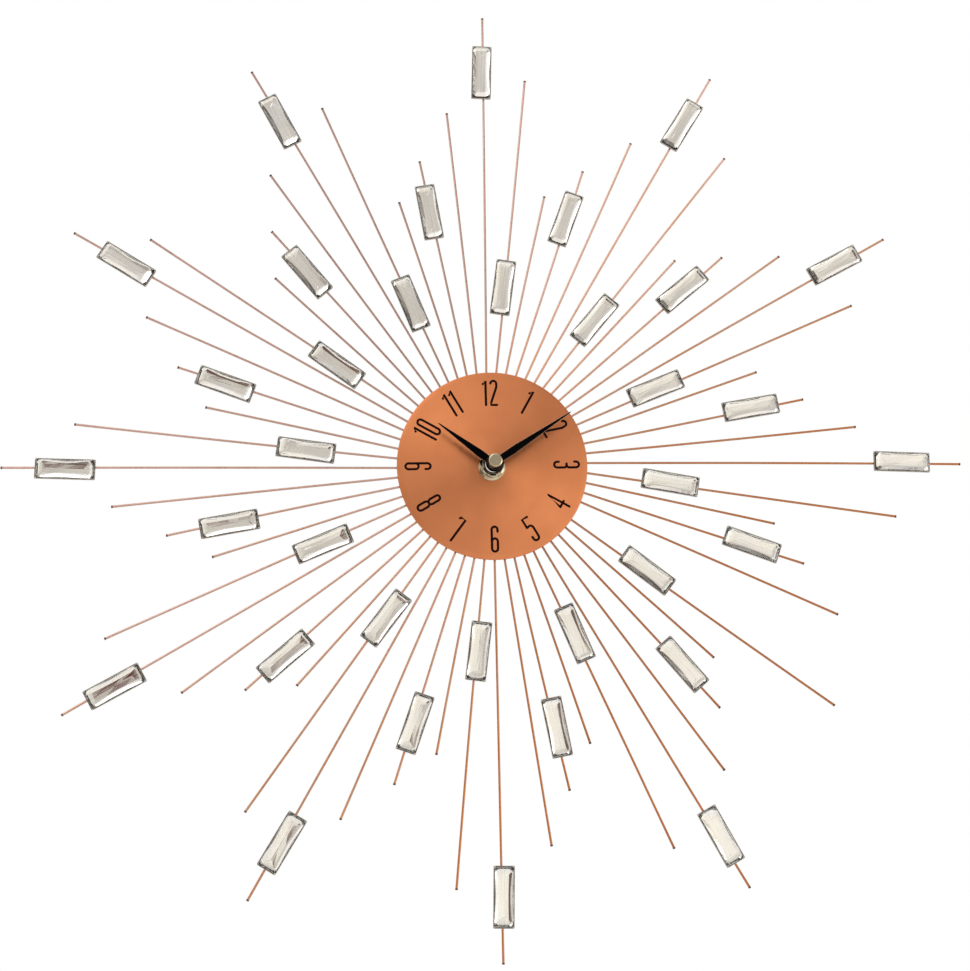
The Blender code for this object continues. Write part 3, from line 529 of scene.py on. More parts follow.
def turn_profile(bm, profile, steps, centre=(0.0, 0.0), material=0, closed=True):
    """Turns (radius, height) points about z. The profile runs so that its outside is on the left going down."""
    rings = []
    for radius, height in profile:
        if radius < 1e-6:
            rings.append([bm.verts.new((centre[0], centre[1], height))] * steps)
            continue
        around = []
        for i in range(steps):
            angle = 2 * math.pi * i / steps
            x = centre[0] + radius * math.cos(angle)
            y = centre[1] + radius * math.sin(angle)
            around.append(bm.verts.new((x, y, height)))
        rings.append(around)
    pairs = list(zip(rings, rings[1:]))
    if closed:
        pairs.append((rings[-1], rings[0]))
    for upper, lower in pairs:
        for i in range(steps):
            j = (i + 1) % steps
            corners = list(dict.fromkeys((upper[i], lower[i], lower[j], upper[j])))
            if len(corners) > 2:
                bm.faces.new(corners).material_index = material


def loft(bm, loops, cap_first=True, cap_last=True, material=0):
    """Joins closed loops of the same number of points with faces."""
    rows = [[bm.verts.new(point) for point in loop] for loop in loops]
    count = len(rows[0])
    made = []
    for low, high in zip(rows, rows[1:]):
        for i in range(count):
            j = (i + 1) % count
            made.append(bm.faces.new((low[i], low[j], high[j], high[i])))
    if cap_first:
        made.append(bm.faces.new(rows[0][::-1]))
    if cap_last:
        made.append(bm.faces.new(rows[-1]))
    for face in made:
        face.material_index = material
    return made


def rounded_rectangle(length, width, corner, height, per_corner=3):
    """A closed outline in the plane z = height, anticlockwise."""
    points = []
    for quadrant, (sx, sy) in enumerate(((1, 1), (-1, 1), (-1, -1), (1, -1))):
        for step in range(per_corner + 1):
            angle = math.pi / 2 * (quadrant + step / per_corner)
            x = sx * (length / 2 - corner) + corner * math.cos(angle)
            y = sy * (width / 2 - corner) + corner * math.sin(angle)
            points.append((x, y, height))
    return points


def rounded_box(bm, low, high, radius, material=0, segments=2):
    """A box with rounded edges between two corners."""
    made = bmesh.ops.create_cube(bm, size=1)["verts"]
    low, high = Vector(low), Vector(high)
    bmesh.ops.scale(bm, vec=high - low, verts=made)
    bmesh.ops.translate(bm, vec=(low + high) / 2, verts=made)
    edges = list({edge for vert in made for edge in vert.link_edges})
    faces = list({face for vert in made for face in vert.link_faces})
    for face in faces:
        face.material_index = material
    bmesh.ops.bevel(bm, geom=edges, offset=radius, segments=segments, affect="EDGES", profile=0.5, material=-1)


def stroke(bm, path, width, height, closed=False, sides=10, material=0):
    """A printed line: a low domed ribbon of one width along a path of (x, y), with round ends."""
    rings = []
    count = len(path)
    for i, point in enumerate(path):
        before = path[i - 1] if closed or i else point
        after = path[(i + 1) % count] if closed or i + 1 < count else point
        along = (Vector(after) - Vector(before)).normalized()
        rings.append((Vector(point), along, 1.0))
    if not closed:
        first, last = rings[0], rings[-1]
        for share in (0.45, 0.8, 0.98):
            narrow = math.sqrt(1 - share * share)
            rings.insert(0, (first[0] - first[1] * width / 2 * share, first[1], narrow))
            rings.append((last[0] + last[1] * width / 2 * share, last[1], narrow))
    loops = []
    for centre, along, size in rings:
        aside = Vector((-along.y, along.x))
        loop = []
        for k in range(sides):
            angle = 2 * math.pi * k / sides
            offset = aside * (math.cos(angle) * width / 2 * size)
            loop.append((centre.x + offset.x, centre.y + offset.y, math.sin(angle) * height * size))
        loops.append(loop)
    if closed:
        loops.append(loops[0])
    loft(bm, loops, not closed, not closed, material)


# ---------------------------------------------------------------- rays and cups


def nipped_end(length):
    """(distance along, share of the radius) of a wire's flared tip."""
    return [(length - 0.9, 1.05), (length - 0.35, 1.22), (length - 0.08, 1.15), (length, 0.8)]


def wires():
    """Every ray's wire in one piece, each very slightly bowed, with a browned nipped tip."""
    bm = bmesh.new()
    sides = 16
    for number in STANDING:
        root, tip, along = ray_line(number)
        aside = Vector((-along.y, along.x))
        start = root - along * SOLDERED_LENGTH
        length = (tip - start).length
        chance = random.Random(number)
        bow = chance.uniform(-0.35, 0.35)
        steps = [(0.0, 0.9), (0.25, 1.0)]
        steps += [(length * k / 9, 1.0) for k in range(1, 9)]
        steps += nipped_end(length)
        loops = []
        for distance, size in steps:
            drift = bow * math.sin(math.pi * distance / length)
            centre = start + along * distance + aside * drift
            loop = []
            for k in range(sides):
                angle = 2 * math.pi * k / sides
                out = aside * (math.cos(angle) * WIRE_RADIUS * size)
                height = RAY_HEIGHT + math.sin(angle) * WIRE_RADIUS * size
                loop.append((centre.x + out.x, centre.y + out.y, height))
            loops.append(loop)
        made = loft(bm, loops[:-3], True, False)
        loft(bm, loops[-4:], False, True, 1)
        for face in made[-1:]:
            face.material_index = 1
    bmesh.ops.remove_doubles(bm, verts=bm.verts, dist=1e-5)
    bmesh.ops.recalc_face_normals(bm, faces=bm.faces)
    obj = piece("copper_wires", bm, "clock", [COPPER_WIRE, CUT_END], smooth=50)
    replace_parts(obj, "ray_frame")


def mounting_plate():
    """The disc behind the dial that the wires are soldered to, with a fillet of solder along each root."""
    low, high = PLATE_BACK, PLATE_BACK + 1.0
    inner, outer = 5.2, 46.0
    edge = 0.15
    bm = bmesh.new()
    profile = [
        (outer - edge, high),
        (outer, high - edge),
        (outer, low + edge),
        (outer - edge, low),
        (inner + edge, low),
        (inner, low + edge),
        (inner, high - edge),
        (inner + edge, high),
    ]
    turn_profile(bm, profile, 128)
    centred = Matrix.Translation((*DIAL_CENTRE, 0))
    piece("mounting_plate", bm, "clock", [COPPER_WIRE], matrix=centred)
    bm = bmesh.new()
    for number in STANDING:
        root, _, along = ray_line(number)
        chance = random.Random(100 + number)
        centre = root - along * (SOLDERED_LENGTH / 2 + chance.uniform(-0.6, 0.6))
        blob(bm, centre, along, 7.5 + chance.uniform(-1, 1), 1.5, RAY_HEIGHT - 0.35, 0.75)
    piece("root_solder", bm, "clock", [SOLDER], smooth=80)


def blob(bm, centre, along, length, width, height, thickness, material=0):
    """A bead of solder: a long ellipsoid laid along a wire."""
    turn = Matrix.Rotation(math.atan2(along.y, along.x), 4, "Z")
    stretch = Matrix.Diagonal((length / 2, width / 2, thickness / 2, 1))
    place = Matrix.Translation((centre.x, centre.y, height)) @ turn @ stretch
    made = bmesh.ops.create_icosphere(bm, subdivisions=2, radius=1, matrix=place)
    for vert in made["verts"]:
        for face in vert.link_faces:
            face.material_index = material


def cup_mesh():
    """A pressed tray: a rounded box with a rolled, rubbed rim, a step inside and a flat floor."""
    bm = bmesh.new()
    wall = 0.5
    length, width = CUP_LENGTH, CUP_WIDTH
    steps = [
        (length - 0.7, width - 0.7, 0.4, 0.0),
        (length - 0.2, width - 0.2, 0.5, 0.1),
        (length, width, 0.6, 0.35),
        (length, width, 0.6, CUP_DEPTH - 0.2),
        (length - 0.12, width - 0.12, 0.55, CUP_DEPTH - 0.05),
        (length - 0.35, width - 0.35, 0.45, CUP_DEPTH),
        (length - 2 * wall + 0.35, width - 2 * wall + 0.35, 0.35, CUP_DEPTH - 0.04),
        (length - 2 * wall, width - 2 * wall, 0.3, CUP_DEPTH - 0.2),
        (length - 2 * wall, width - 2 * wall, 0.3, 0.5),
    ]
    loops = [rounded_rectangle(l, w, corner, z) for l, w, corner, z in steps]
    loft(bm, loops[:7], True, False)
    loft(bm, loops[6:], False, True, 1)
    bmesh.ops.remove_doubles(bm, verts=bm.verts, dist=1e-5)
    bmesh.ops.recalc_face_normals(bm, faces=bm.faces)
    mesh = bpy.data.meshes.new("crystal_cup")
    bm.to_mesh(mesh)
    bm.free()
    mesh.materials.append(CUP)
    mesh.materials.append(CUP_INSIDE)
    mesh.shade_smooth()
    mesh.set_sharp_from_angle(angle=math.radians(40))
    return mesh


STONE_LENGTH = 29.22
STONE_WIDTH = 9.52
STONE_BACK = 0.62
STONE_GIRDLE_HEIGHT = 1.75
STONE_TABLE_HEIGHT = 2.95


def waisted_outline(length, width, waist, cut, height, along_side=8):
    """A long outline with cut corners whose long sides draw in by the waist in the middle."""
    half_l, half_w = length / 2, width / 2
    points = []
    for sx, sy in ((1, 1), (-1, -1)):
        points.append((sx * half_l, sy * (-half_w + cut), height))
        points.append((sx * half_l, sy * (half_w - cut), height))
        for k in range(along_side + 1):
            share = k / along_side
            x = (half_l - cut) * (1 - 2 * share)
            inward = waist * (1 - (2 * share - 1) ** 2)
            points.append((sx * x, sy * (half_w - inward), height))
    return points


def stone_mesh():
    """The cut glass: a table, a crown widening to the middle of each long side, a girdle and a flat back."""
    bm = bmesh.new()
    loops = [
        waisted_outline(STONE_LENGTH - 0.4, STONE_WIDTH - 0.4, 0, 0.7, STONE_BACK),
        waisted_outline(STONE_LENGTH, STONE_WIDTH, 0, 0.8, STONE_GIRDLE_HEIGHT - 0.25),
        waisted_outline(STONE_LENGTH, STONE_WIDTH, 0, 0.8, STONE_GIRDLE_HEIGHT),
        waisted_outline(STONE_LENGTH - 4.0, STONE_WIDTH - 1.9, 0.85, 1.2, STONE_TABLE_HEIGHT),
    ]
    loft(bm, loops, True, True)
    bmesh.ops.recalc_face_normals(bm, faces=bm.faces)
    mesh = bpy.data.meshes.new("cut_stone")
    bm.to_mesh(mesh)
    bm.free()
    mesh.materials.append(STONE)
    return mesh


def foil_mesh(seed):
    """The silvered back of the stone, just inside it: long uneven facets to a keel, and hipped ends."""
    chance = random.Random(seed)
    bm = bmesh.new()

    def facet_line(length, width, cut, height, waist=0.0):
        points = waisted_outline(length, width, waist, cut, height, 4)
        return [(x, y, z + chance.uniform(-0.02, 0.02)) for x, y, z in points]

    shift = chance.uniform(-0.4, 0.4)
    loops = [
        waisted_outline(STONE_LENGTH - 0.16, STONE_WIDTH - 0.16, 0, 0.76, STONE_GIRDLE_HEIGHT - 0.04, 4),
        facet_line(STONE_LENGTH - 1.6, STONE_WIDTH - 1.1, 0.8, 1.04, 0.2),
        facet_line(STONE_LENGTH - 6.5, STONE_WIDTH - 4.8, 0.5, 0.86, 0.2),
        [(x, y + shift, z) for x, y, z in facet_line(STONE_LENGTH - 10.0, 0.8, 0.15, 0.82)],
    ]
    loft(bm, loops, False, True)
    for face in bm.faces:
        face.normal_flip()
    mesh = bpy.data.meshes.new(f"foil_{seed}")
    bm.to_mesh(mesh)
    bm.free()
    mesh.materials.append(FOIL)
    return mesh


def crystals():
    cup, stone = cup_mesh(), stone_mesh()
    foils = [foil_mesh(seed) for seed in range(7)]
    bm = bmesh.new()
    for index, number in enumerate(CRYSTALS):
        place = cup_matrix(number)
        name = f"{CRYSTAL_ROW[number % 5]}_{hour_of(number):02d}"
        chance = random.Random(200 + number)
        tilt = Matrix.Rotation(math.radians(chance.uniform(-0.8, 0.8)), 4, "X")
        tilt @= Matrix.Rotation(math.radians(chance.uniform(-0.3, 0.3)), 4, "Y")
        put(f"cup_{name}", cup, "clock", place)
        glass = put(f"stone_{name}", stone, "clock", place @ tilt)
        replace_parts(glass, f"{CRYSTAL_ROW[number % 5]}_crystal_{hour_of(number):02d}")
        flip = Matrix.Rotation(math.pi * (index % 2), 4, "Z")
        put(f"foil_{name}", foils[index % len(foils)], "clock", place @ tilt @ flip)
        root, _, along = ray_line(number)
        centre = (place.translation.xy - root).project(along) + root
        blob(bm, centre + along * chance.uniform(-2, 2), along, 17.0, 2.6, CUP_BACK - 0.25, 0.9)
    piece("cup_solder", bm, "clock", [SOLDER], smooth=80)


# ---------------------------------------------------------------- dial and numerals

NUMERAL_HEIGHT = 14.2
DIGIT_WIDTH = 4.3
STROKE = 1.25
DIGIT_GAP = 1.0
NUMERAL_RADIUS = 38.65
DIAL_TURN = -2.2
PRINT_SLIP = Vector((0.0, -0.12))
LEADING_ONE_SLIP = -0.45
DIGIT_SLIPS = {"1": -0.25, "4": -0.4, "5": -0.5}


def arc(cx, cy, rx, ry, start, end, steps=8):
    """Points on an ellipse from one angle to another, in degrees."""
    return [
        (
            cx + rx * math.cos(math.radians(start + (end - start) * k / steps)),
            cy + ry * math.sin(math.radians(start + (end - start) * k / steps)),
        )
        for k in range(steps + 1)
    ]


def loop_shape(low, high, half):
    """A stadium standing between two heights."""
    return arc(0, high - half, half, half, 0, 180) + arc(0, low + half, half, half, 180, 360)


def digit_paths(digit):
    """Centre lines of a digit, as (points, closed), about its middle. It stands NUMERAL_HEIGHT high."""
    top = (NUMERAL_HEIGHT - STROKE) / 2
    half = (DIGIT_WIDTH - STROKE) / 2
    bottom = -top
    if digit == "0":
        return [(loop_shape(bottom, top, half), True)]
    if digit == "1":
        return [([(-half * 0.7, top - 1.7), (0.35, top), (0.35, bottom)], False)]
    if digit == "2":
        bow = arc(0, top - half, half, half, 175, 0) + [(half, top - 3.4)]
        return [(bow + [(-half * 0.9, bottom + 1.2), (-half, bottom), (half * 1.1, bottom)], False)]
    if digit == "3":
        upper = [(-half, top - 2.4)] + arc(0, top - half, half, half, 180, 0) + [(half, 1.2)]
        waist = arc(0.2, 1.2, half - 0.2, 1.2, 0, -90, 4) + [(-half * 0.35, 0.0)]
        lower = [(0.2, 0.0)] + arc(0.2, -1.2, half - 0.2, 1.2, 90, 0, 4)
        lower += arc(0, bottom + half, half, half, 0, -180) + [(-half, bottom + 2.4)]
        return [(upper + waist, False), (lower, False)]
    if digit == "4":
        return [([(half * 0.55, bottom), (half * 0.55, top), (-half * 1.15, bottom + 4.0)], False),
                ([(-half * 1.15, bottom + 4.0), (half * 1.25, bottom + 4.0)], False)]
    if digit == "5":
        bowl = arc(0, 0.3, half, half, 130, 0) + arc(0, bottom + half, half, half, 0, -180)
        return [([(half, top), (-half, top), (-half, 1.2)] + bowl + [(-half, bottom + 2.6)], False)]
    if digit == "6":
        hook = [(half, top - 2.6)]
        hook += arc(0, top - half, half, half, 0, 180)
        hook += arc(0, bottom + half, half, half, 180, 360)
        return [(hook + arc(0, -1.2, half, half, 0, 180), False)]
    if digit == "7":
        return [([(-half, top - 0.5), (-half * 0.9, top), (half, top), (-half * 0.1, bottom)], False)]
    if digit == "8":
        return [(loop_shape(0.0, top, half * 0.92), True), (loop_shape(bottom, 0.0, half), True)]
    return [([(-x, -y) for x, y in path], closed) for path, closed in digit_paths("6")]


def numerals():
    """One to twelve, printed round the dial: four to eight stand with their feet outwards."""
    bm = bmesh.new()
    for hour in range(1, 13):
        text = str(hour)
        spread = DIGIT_WIDTH + DIGIT_GAP - (1.5 if text == "11" else 1.1)
        clockwise = 30 * hour + DIAL_TURN
        centre = on_face(NUMERAL_RADIUS, clockwise) + PRINT_SLIP
        turn = -math.radians(clockwise) + (math.pi if 4 <= hour <= 8 else 0)
        for index, digit in enumerate(text):
            aside = (index - (len(text) - 1) / 2) * spread + (LEADING_ONE_SLIP if len(text) == 2 else 0)
            aside += DIGIT_SLIPS.get(digit, 0)
            place = Matrix.Translation((*centre, DIAL_FRONT)) @ Matrix.Rotation(turn, 4, "Z")
            place @= Matrix.Translation((aside, 0, 0))
            first = len(bm.verts)
            for path, closed in digit_paths(digit):
                stroke(bm, path, STROKE, 0.05, closed)
            bm.verts.ensure_lookup_table()
            bmesh.ops.transform(bm, matrix=place, verts=bm.verts[first:])
    bmesh.ops.recalc_face_normals(bm, faces=bm.faces)
    piece("dial_numerals", bm, "clock", [INK], smooth=60)


def dial():
    """A thin spun disc with a rolled edge."""
    low, high = DIAL_BACK, DIAL_FRONT
    radius, hole = DIAL_RADIUS, 5.2
    bm = bmesh.new()
    front = [(hole, high)] + [(r, high) for r in range(10, 49, 3)]
    front += [(radius - 0.55, high), (radius - 0.2, high - 0.08), (radius - 0.03, high - 0.28)]
    back = [(radius, high - 0.55), (radius - 0.1, low + 0.2), (radius - 0.4, low), (hole, low)]
    turn_profile(bm, front, 192, closed=False)
    turn_profile(bm, [front[-1]] + back + [front[0]], 192, material=1, closed=False)
    bmesh.ops.remove_doubles(bm, verts=bm.verts, dist=1e-5)
    bmesh.ops.recalc_face_normals(bm, faces=bm.faces)
    centred = Matrix.Translation((*DIAL_CENTRE, 0))
    obj = piece("spun_dial", bm, "clock", [DIAL, DIAL_EDGE], matrix=centred)
    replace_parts(obj, "dial")


# ---------------------------------------------------------------- fixings and hands


def ring_profile(outer, inner, low, high, edge):
    return [
        (inner + edge, high),
        (outer - edge, high),
        (outer - edge * 0.3, high - edge * 0.3),
        (outer, high - edge),
        (outer, low + edge),
        (outer - edge, low),
        (inner + edge, low),
        (inner, low + edge),
        (inner, high - edge),
    ]


def washer():
    low, high = face_box("front_washer")
    radius = (high - low).x / 2
    bm = bmesh.new()
    turn_profile(bm, ring_profile(radius, 4.8, low.z, high.z, 0.22), 96)
    bmesh.ops.recalc_face_normals(bm, faces=bm.faces)
    centre = Matrix.Translation((*middle("front_washer").xy, 0))
    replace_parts(piece("round_washer", bm, "clock", [CHAMPAGNE], matrix=centre), "front_washer")


def nut():
    """A thin hexagon nut whose corners are turned away at 30 degrees on both faces."""
    low, high = face_box("mounting_nut")
    flats = (high - low).x / 2
    hole = 3.98
    bm = bmesh.new()
    steps = 72

    def reach(angle):
        sixth = (angle + math.pi / 6) % (math.pi / 3) - math.pi / 6
        return flats / math.cos(sixth)

    def circle(height, radius):
        angles = [2 * math.pi * k / steps for k in range(steps)]
        return [(radius * math.cos(angle), radius * math.sin(angle), height) for angle in angles]

    def chamfer_edge(height, side):
        """Where the turned cone meets the flats: lowest at the corners."""
        points = []
        for k in range(steps):
            angle = 2 * math.pi * k / steps
            r = reach(angle)
            fall = (r - flats) * math.tan(math.radians(30))
            points.append((r * math.cos(angle), r * math.sin(angle), height + side * (fall + 0.02)))
        return points

    loops = [
        circle(low.z, hole),
        circle(low.z, flats - 0.1),
        chamfer_edge(low.z, 1),
        chamfer_edge(high.z, -1),
        circle(high.z, flats - 0.1),
        circle(high.z, hole + 0.3),
        circle(high.z - 0.3, hole),
        circle(low.z, hole),
    ]
    loft(bm, loops, False, False)
    bmesh.ops.remove_doubles(bm, verts=bm.verts, dist=1e-5)
    bmesh.ops.recalc_face_normals(bm, faces=bm.faces)
    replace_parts(piece("hex_nut", bm, "clock", [CHAMPAGNE], smooth=22), "mounting_nut")


def bushing():
    """The threaded tube through the face, with a flange behind and a helical thread outside."""
    low, high = face_box("threaded_bushing")
    flange = (high - low).x / 2
    bm = bmesh.new()
    profile = [
        (2.62, high.z),
        (3.35, high.z),
        (3.6, high.z - 0.25),
        (3.6, low.z + 2.5),
        (flange, low.z + 2.4),
        (flange, low.z + 1.6),
        (3.6, low.z + 1.6),
        (3.6, low.z),
        (2.62, low.z),
    ]
    turn_profile(bm, profile, 64)
    pitch, turns = 0.75, 11
    per_turn = 40
    loops = []
    for k in range(per_turn * turns + 1):
        angle = 2 * math.pi * k / per_turn
        height = low.z + 2.7 + pitch * k / per_turn
        crest = 3.84 if 0 < k < per_turn * turns else 3.6
        outline = ((3.55, -0.3), (crest, -0.08), (crest, 0.08), (3.55, 0.3))
        loops.append([(r * math.cos(angle), r * math.sin(angle), height + dz) for r, dz in outline])
    loft(bm, loops)
    bmesh.ops.recalc_face_normals(bm, faces=bm.faces)
    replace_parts(piece("threaded_tube", bm, "clock", [BRASS]), "threaded_bushing")


def blade_half_width(share, width):
    """Half width of a hand at a share of its length: narrow at the boss, full at a quarter, then tapering."""
    if share < 0.26:
        return width * (0.4 + 0.1 * math.sin(math.pi / 2 * share / 0.26))
    return 0.28 + (width * 0.5 - 0.28) * (1 - (share - 0.26) / 0.74) ** 1.02


def blade(bm, length, width, top, thickness):
    """A lance blade along +y with softly bevelled edges and a faint crown; its upper bevel strips carry a painted
    highlight.
    """
    steps = 40
    low = top - thickness
    loops = []
    for k in range(steps + 1):
        share = k / steps
        y = length * share
        half = blade_half_width(share, width)
        if k == steps:
            half = 0.12
        bevel = min(0.09, half * 0.4)
        loops.append(
            [
                (-half + bevel * 0.5, y, low),
                (half - bevel * 0.5, y, low),
                (half, y, low + 0.08),
                (half, y, top - 0.09),
                (half - bevel, y, top - 0.02),
                (0.0, y, top),
                (-half + bevel, y, top - 0.02),
                (-half, y, top - 0.09),
                (-half, y, low + 0.08),
            ]
        )
    made = loft(bm, loops)
    bmesh.ops.recalc_face_normals(bm, faces=made)
    # Painted highlight: the upper bevel strips take the second finish, a pale copper metal for light along the
    # black edges.
    for face in made:
        if 0.3 < face.normal.z < 0.95 and len(face.verts) == 4:
            face.material_index = 1


def boss_profile(radius, hole, low, high, shoulder):
    """A black boss like a shallow cap, its shoulder rounded."""
    points = [(hole, high)]
    for k in range(7):
        angle = math.pi / 2 * k / 6
        across = radius - shoulder + shoulder * math.sin(angle)
        points.append((across, high - shoulder + shoulder * math.cos(angle)))
    return points + [(radius, low + 0.1), (radius - 0.1, low), (hole, low)]


def rubbed_arc(bm, top, start, end, material):
    """A bright arc on a raised bead on the shoulder of the hour hand's boss: a painted highlight, the crescent
    glint along the boss's left and lower side.
    """
    ridge = 4.35
    steps = 24
    loops = []
    for k in range(steps + 1):
        share = k / steps
        angle = math.radians(start + (end - start) * share)
        swell = max(0.08, math.sin(math.pi * share) ** 0.5)
        inner, outer = ridge - 0.3 * swell, ridge + 0.38 * swell
        outline = ((inner, -0.12), (ridge, 0.26 * swell), (outer, -0.12), (ridge, -0.2))
        loops.append([(r * math.cos(angle), r * math.sin(angle), top + dz) for r, dz in outline])
    loft(bm, loops, material=material)


HAND_ANGLES = {"hour_hand": 305.3, "minute_hand": 54.7}
HAND_WIDTHS = {"hour_hand": 4.1, "minute_hand": 4.0}
HAND_LENGTHS = {"hour_hand": 35.5, "minute_hand": 48.4}
BOSS_RADII = {"hour_hand": 5.1, "minute_hand": 3.8}
BOSS_HOLES = {"hour_hand": 2.7, "minute_hand": 1.75}


def hands():
    for name, body in (("hour_hand", "hour"), ("minute_hand", "minute")):
        low, high = face_box(name)
        bm = bmesh.new()
        blade(bm, HAND_LENGTHS[name], HAND_WIDTHS[name], high.z - 0.02, 0.4)
        profile = boss_profile(BOSS_RADII[name], BOSS_HOLES[name], low.z, high.z, 0.75)
        turn_profile(bm, profile, 72, material=2)
        if name == "hour_hand":
            turned = -HAND_ANGLES[name]
            # Painted highlight: the bright crescent on the boss's shoulder, from the left round to the bottom only.
            rubbed_arc(bm, high.z, 165 - turned, 285 - turned, 3)
        bmesh.ops.recalc_face_normals(bm, faces=bm.faces)
        turn = Matrix.Rotation(-math.radians(HAND_ANGLES[name]), 4, "Z")
        finishes = [BLACK, HAND_EDGE_HIGHLIGHT, BOSS_BLACK, GLINT_METAL]
        obj = piece(f"{name}_blade", bm, body, finishes, smooth=50, matrix=turn)
        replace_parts(obj, name)


def cap():
    """The cap on the minute arbor: a black side, a bright turned bevel and a dull brushed top."""
    low, high = face_box("hand_cap")
    radius = (high - low).x / 2
    bm = bmesh.new()
    rim = [
        (radius - 0.72, high.z - 0.06),
        (radius - 0.66, high.z),
        (radius - 0.55, high.z),
        (radius - 0.1, high.z - 0.3),
        (radius, high.z - 0.6),
        (radius, high.z - 0.95),
        (radius - 0.08, high.z - 1.05),
    ]
    side = [rim[-1], (radius - 0.08, low.z + 0.2), (radius - 0.28, low.z), (1.8, low.z)]
    side += [(1.8, high.z - 1.5), (0, high.z - 1.5)]
    turn_profile(bm, rim, 72, closed=False)
    turn_profile(bm, [(0, rim[0][1]), rim[0]], 72, material=1, closed=False)
    turn_profile(bm, side, 72, material=2, closed=False)
    bmesh.ops.remove_doubles(bm, verts=bm.verts, dist=1e-5)
    bmesh.ops.recalc_face_normals(bm, faces=bm.faces)
    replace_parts(piece("cap_nut", bm, "minute", [CHAMPAGNE, CAP_FACE, BOSS_BLACK]), "hand_cap")


# ---------------------------------------------------------------- movement

# What each of the movement's own solids is made of: finish, slot, and the width of its rounded edges.
MOVEMENT = {
    "movement_case": (CASE_PLASTIC, "black_plastic", 0.3),
    "motion_wheel": (WHITE_PLASTIC, "white_plastic", 0.03),
    "third_wheel": (WHITE_PLASTIC, "white_plastic", 0.03),
    "seconds_wheel": (WHITE_PLASTIC, "white_plastic", 0.03),
    "intermediate_wheel": (WHITE_PLASTIC, "white_plastic", 0.03),
    "centre_wheel": (BRASS, "brass", 0.03),
    "hour_wheel": (BRASS, "brass", 0.03),
    "minute_arbor": (STEEL, "steel", 0.04),
    "stator": (STEEL, "steel", 0.08),
    "rotor": (STEEL, "steel", 0.03),
    "circuit_board": (BOARD, "board_green", 0.05),
    "battery_contact_positive": (STEEL, "steel", 0.12),
    "battery_contact_negative": (STEEL, "steel", 0.12),
}


def copy_of(node):
    """A CAD solid's own mesh in the face frame, its flat faces whole again."""
    bm = bmesh.new()
    bm.from_mesh(frame["nodes"][node].data)
    bmesh.ops.transform(bm, matrix=TO_FACE, verts=bm.verts)
    bmesh.ops.remove_doubles(bm, verts=bm.verts, dist=1e-4)
    bmesh.ops.dissolve_limit(bm, angle_limit=math.radians(0.5), verts=bm.verts, edges=bm.edges)
    return bm


def round_edges(bm, width, shortest):
    """Rounds the sharp edges that are long enough to show it."""
    sharp = [
        edge
        for edge in bm.edges
        if edge.is_manifold and edge.calc_length() > shortest and edge.calc_face_angle() > math.radians(50)
    ]
    bmesh.ops.bevel(bm, geom=sharp, offset=width, segments=2, profile=0.5, affect="EDGES", clamp_overlap=True)


def body_of(node):
    return next(body for body, names in frame["record"]["behaviour"]["bodies"].items() if node in names)


def movement_parts():
    for node, (finish, slot, width) in MOVEMENT.items():
        bm = copy_of(node)
        round_edges(bm, width, width * 4)
        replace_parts(piece(f"{node}_moulding", bm, body_of(node), [finish], smooth=32), node)


COVER_SINK = 0.35


def cover():
    """The lid of the gear chamber: a sunk panel in a raised border, a ring and a turning arrow round the knob's
    window, and round pads in the other corners."""
    low, high = face_box("rear_cover")
    knob = middle("setting_knob")
    bm = copy_of("rear_cover")
    for vert in bm.verts:
        if vert.co.z < low.z + 0.01:
            vert.co.z = low.z + COVER_SINK
    foot = low.z + COVER_SINK + 0.2
    for x0, y0, x1, y1 in (
        (low.x, low.y, high.x, low.y + 1.2),
        (low.x, high.y - 1.2, high.x, high.y),
        (low.x, low.y + 1.0, low.x + 1.2, high.y - 1.0),
        (high.x - 1.2, low.y + 1.0, high.x, high.y - 1.0),
    ):
        rounded_box(bm, (x0, y0, low.z), (x1, y1, foot), 0.12)
    window = (knob.x, knob.y)
    shoulder = low.z + 0.1
    ring = [(4.7, foot), (4.7, shoulder), (4.8, low.z), (5.4, low.z), (5.5, shoulder), (5.5, foot)]
    turn_profile(bm, ring, 64, window)
    for x in (low.x + 5.0, high.x - 5.0):
        for y in (low.y + 5.0, high.y - 5.0):
            if math.hypot(x - knob.x, y - knob.y) > 8.0:
                pad = [(0.0, foot), (1.6, foot), (1.6, low.z + 0.2), (1.45, low.z + 0.05), (0.0, low.z + 0.05)]
                turn_profile(bm, pad, 40, (x, y), closed=False)
    arrow = arc(knob.x, knob.y, 7.0, 7.0, 200, 60, 20)
    others = set(bm.verts)
    stroke(bm, arrow, 0.7, 0.28)
    tip = Vector(arrow[-1])
    back = (Vector(arrow[-2]) - tip).normalized()
    for barb in (-1, 1):
        away = back.copy()
        away.rotate(Matrix.Rotation(math.radians(38 * barb), 2))
        stroke(bm, [tip, tip + away * 1.8], 0.7, 0.28)
    drawn = [vert for vert in bm.verts if vert not in others]
    bmesh.ops.translate(bm, vec=(0, 0, low.z + COVER_SINK), verts=drawn)
    bmesh.ops.recalc_face_normals(bm, faces=bm.faces)
    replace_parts(piece("cover_moulding", bm, "clock", [CASE_PLASTIC], smooth=32), "rear_cover")


def latches():
    """Two moulded snap tabs on each side of the case, each over a shallow frame."""
    low, _ = face_box("movement_case")
    side = 28.0
    bm = bmesh.new()
    for sx in (-1, 1):
        for y in (14.0, -5.0):
            near, far = sorted((sx * (side - 0.3), sx * (side + 0.5)))
            rounded_box(bm, (near, y - 3.5, low.z + 3.0), (far, y + 3.5, low.z + 9.5), 0.25)
            near, far = sorted((sx * side, sx * (side + 0.9)))
            rounded_box(bm, (near, y - 2.2, low.z + 3.8), (far, y + 2.2, low.z + 5.0), 0.25)
    bmesh.ops.recalc_face_normals(bm, faces=bm.faces)
    piece("case_latches", bm, "clock", [CASE_PLASTIC], smooth=32)


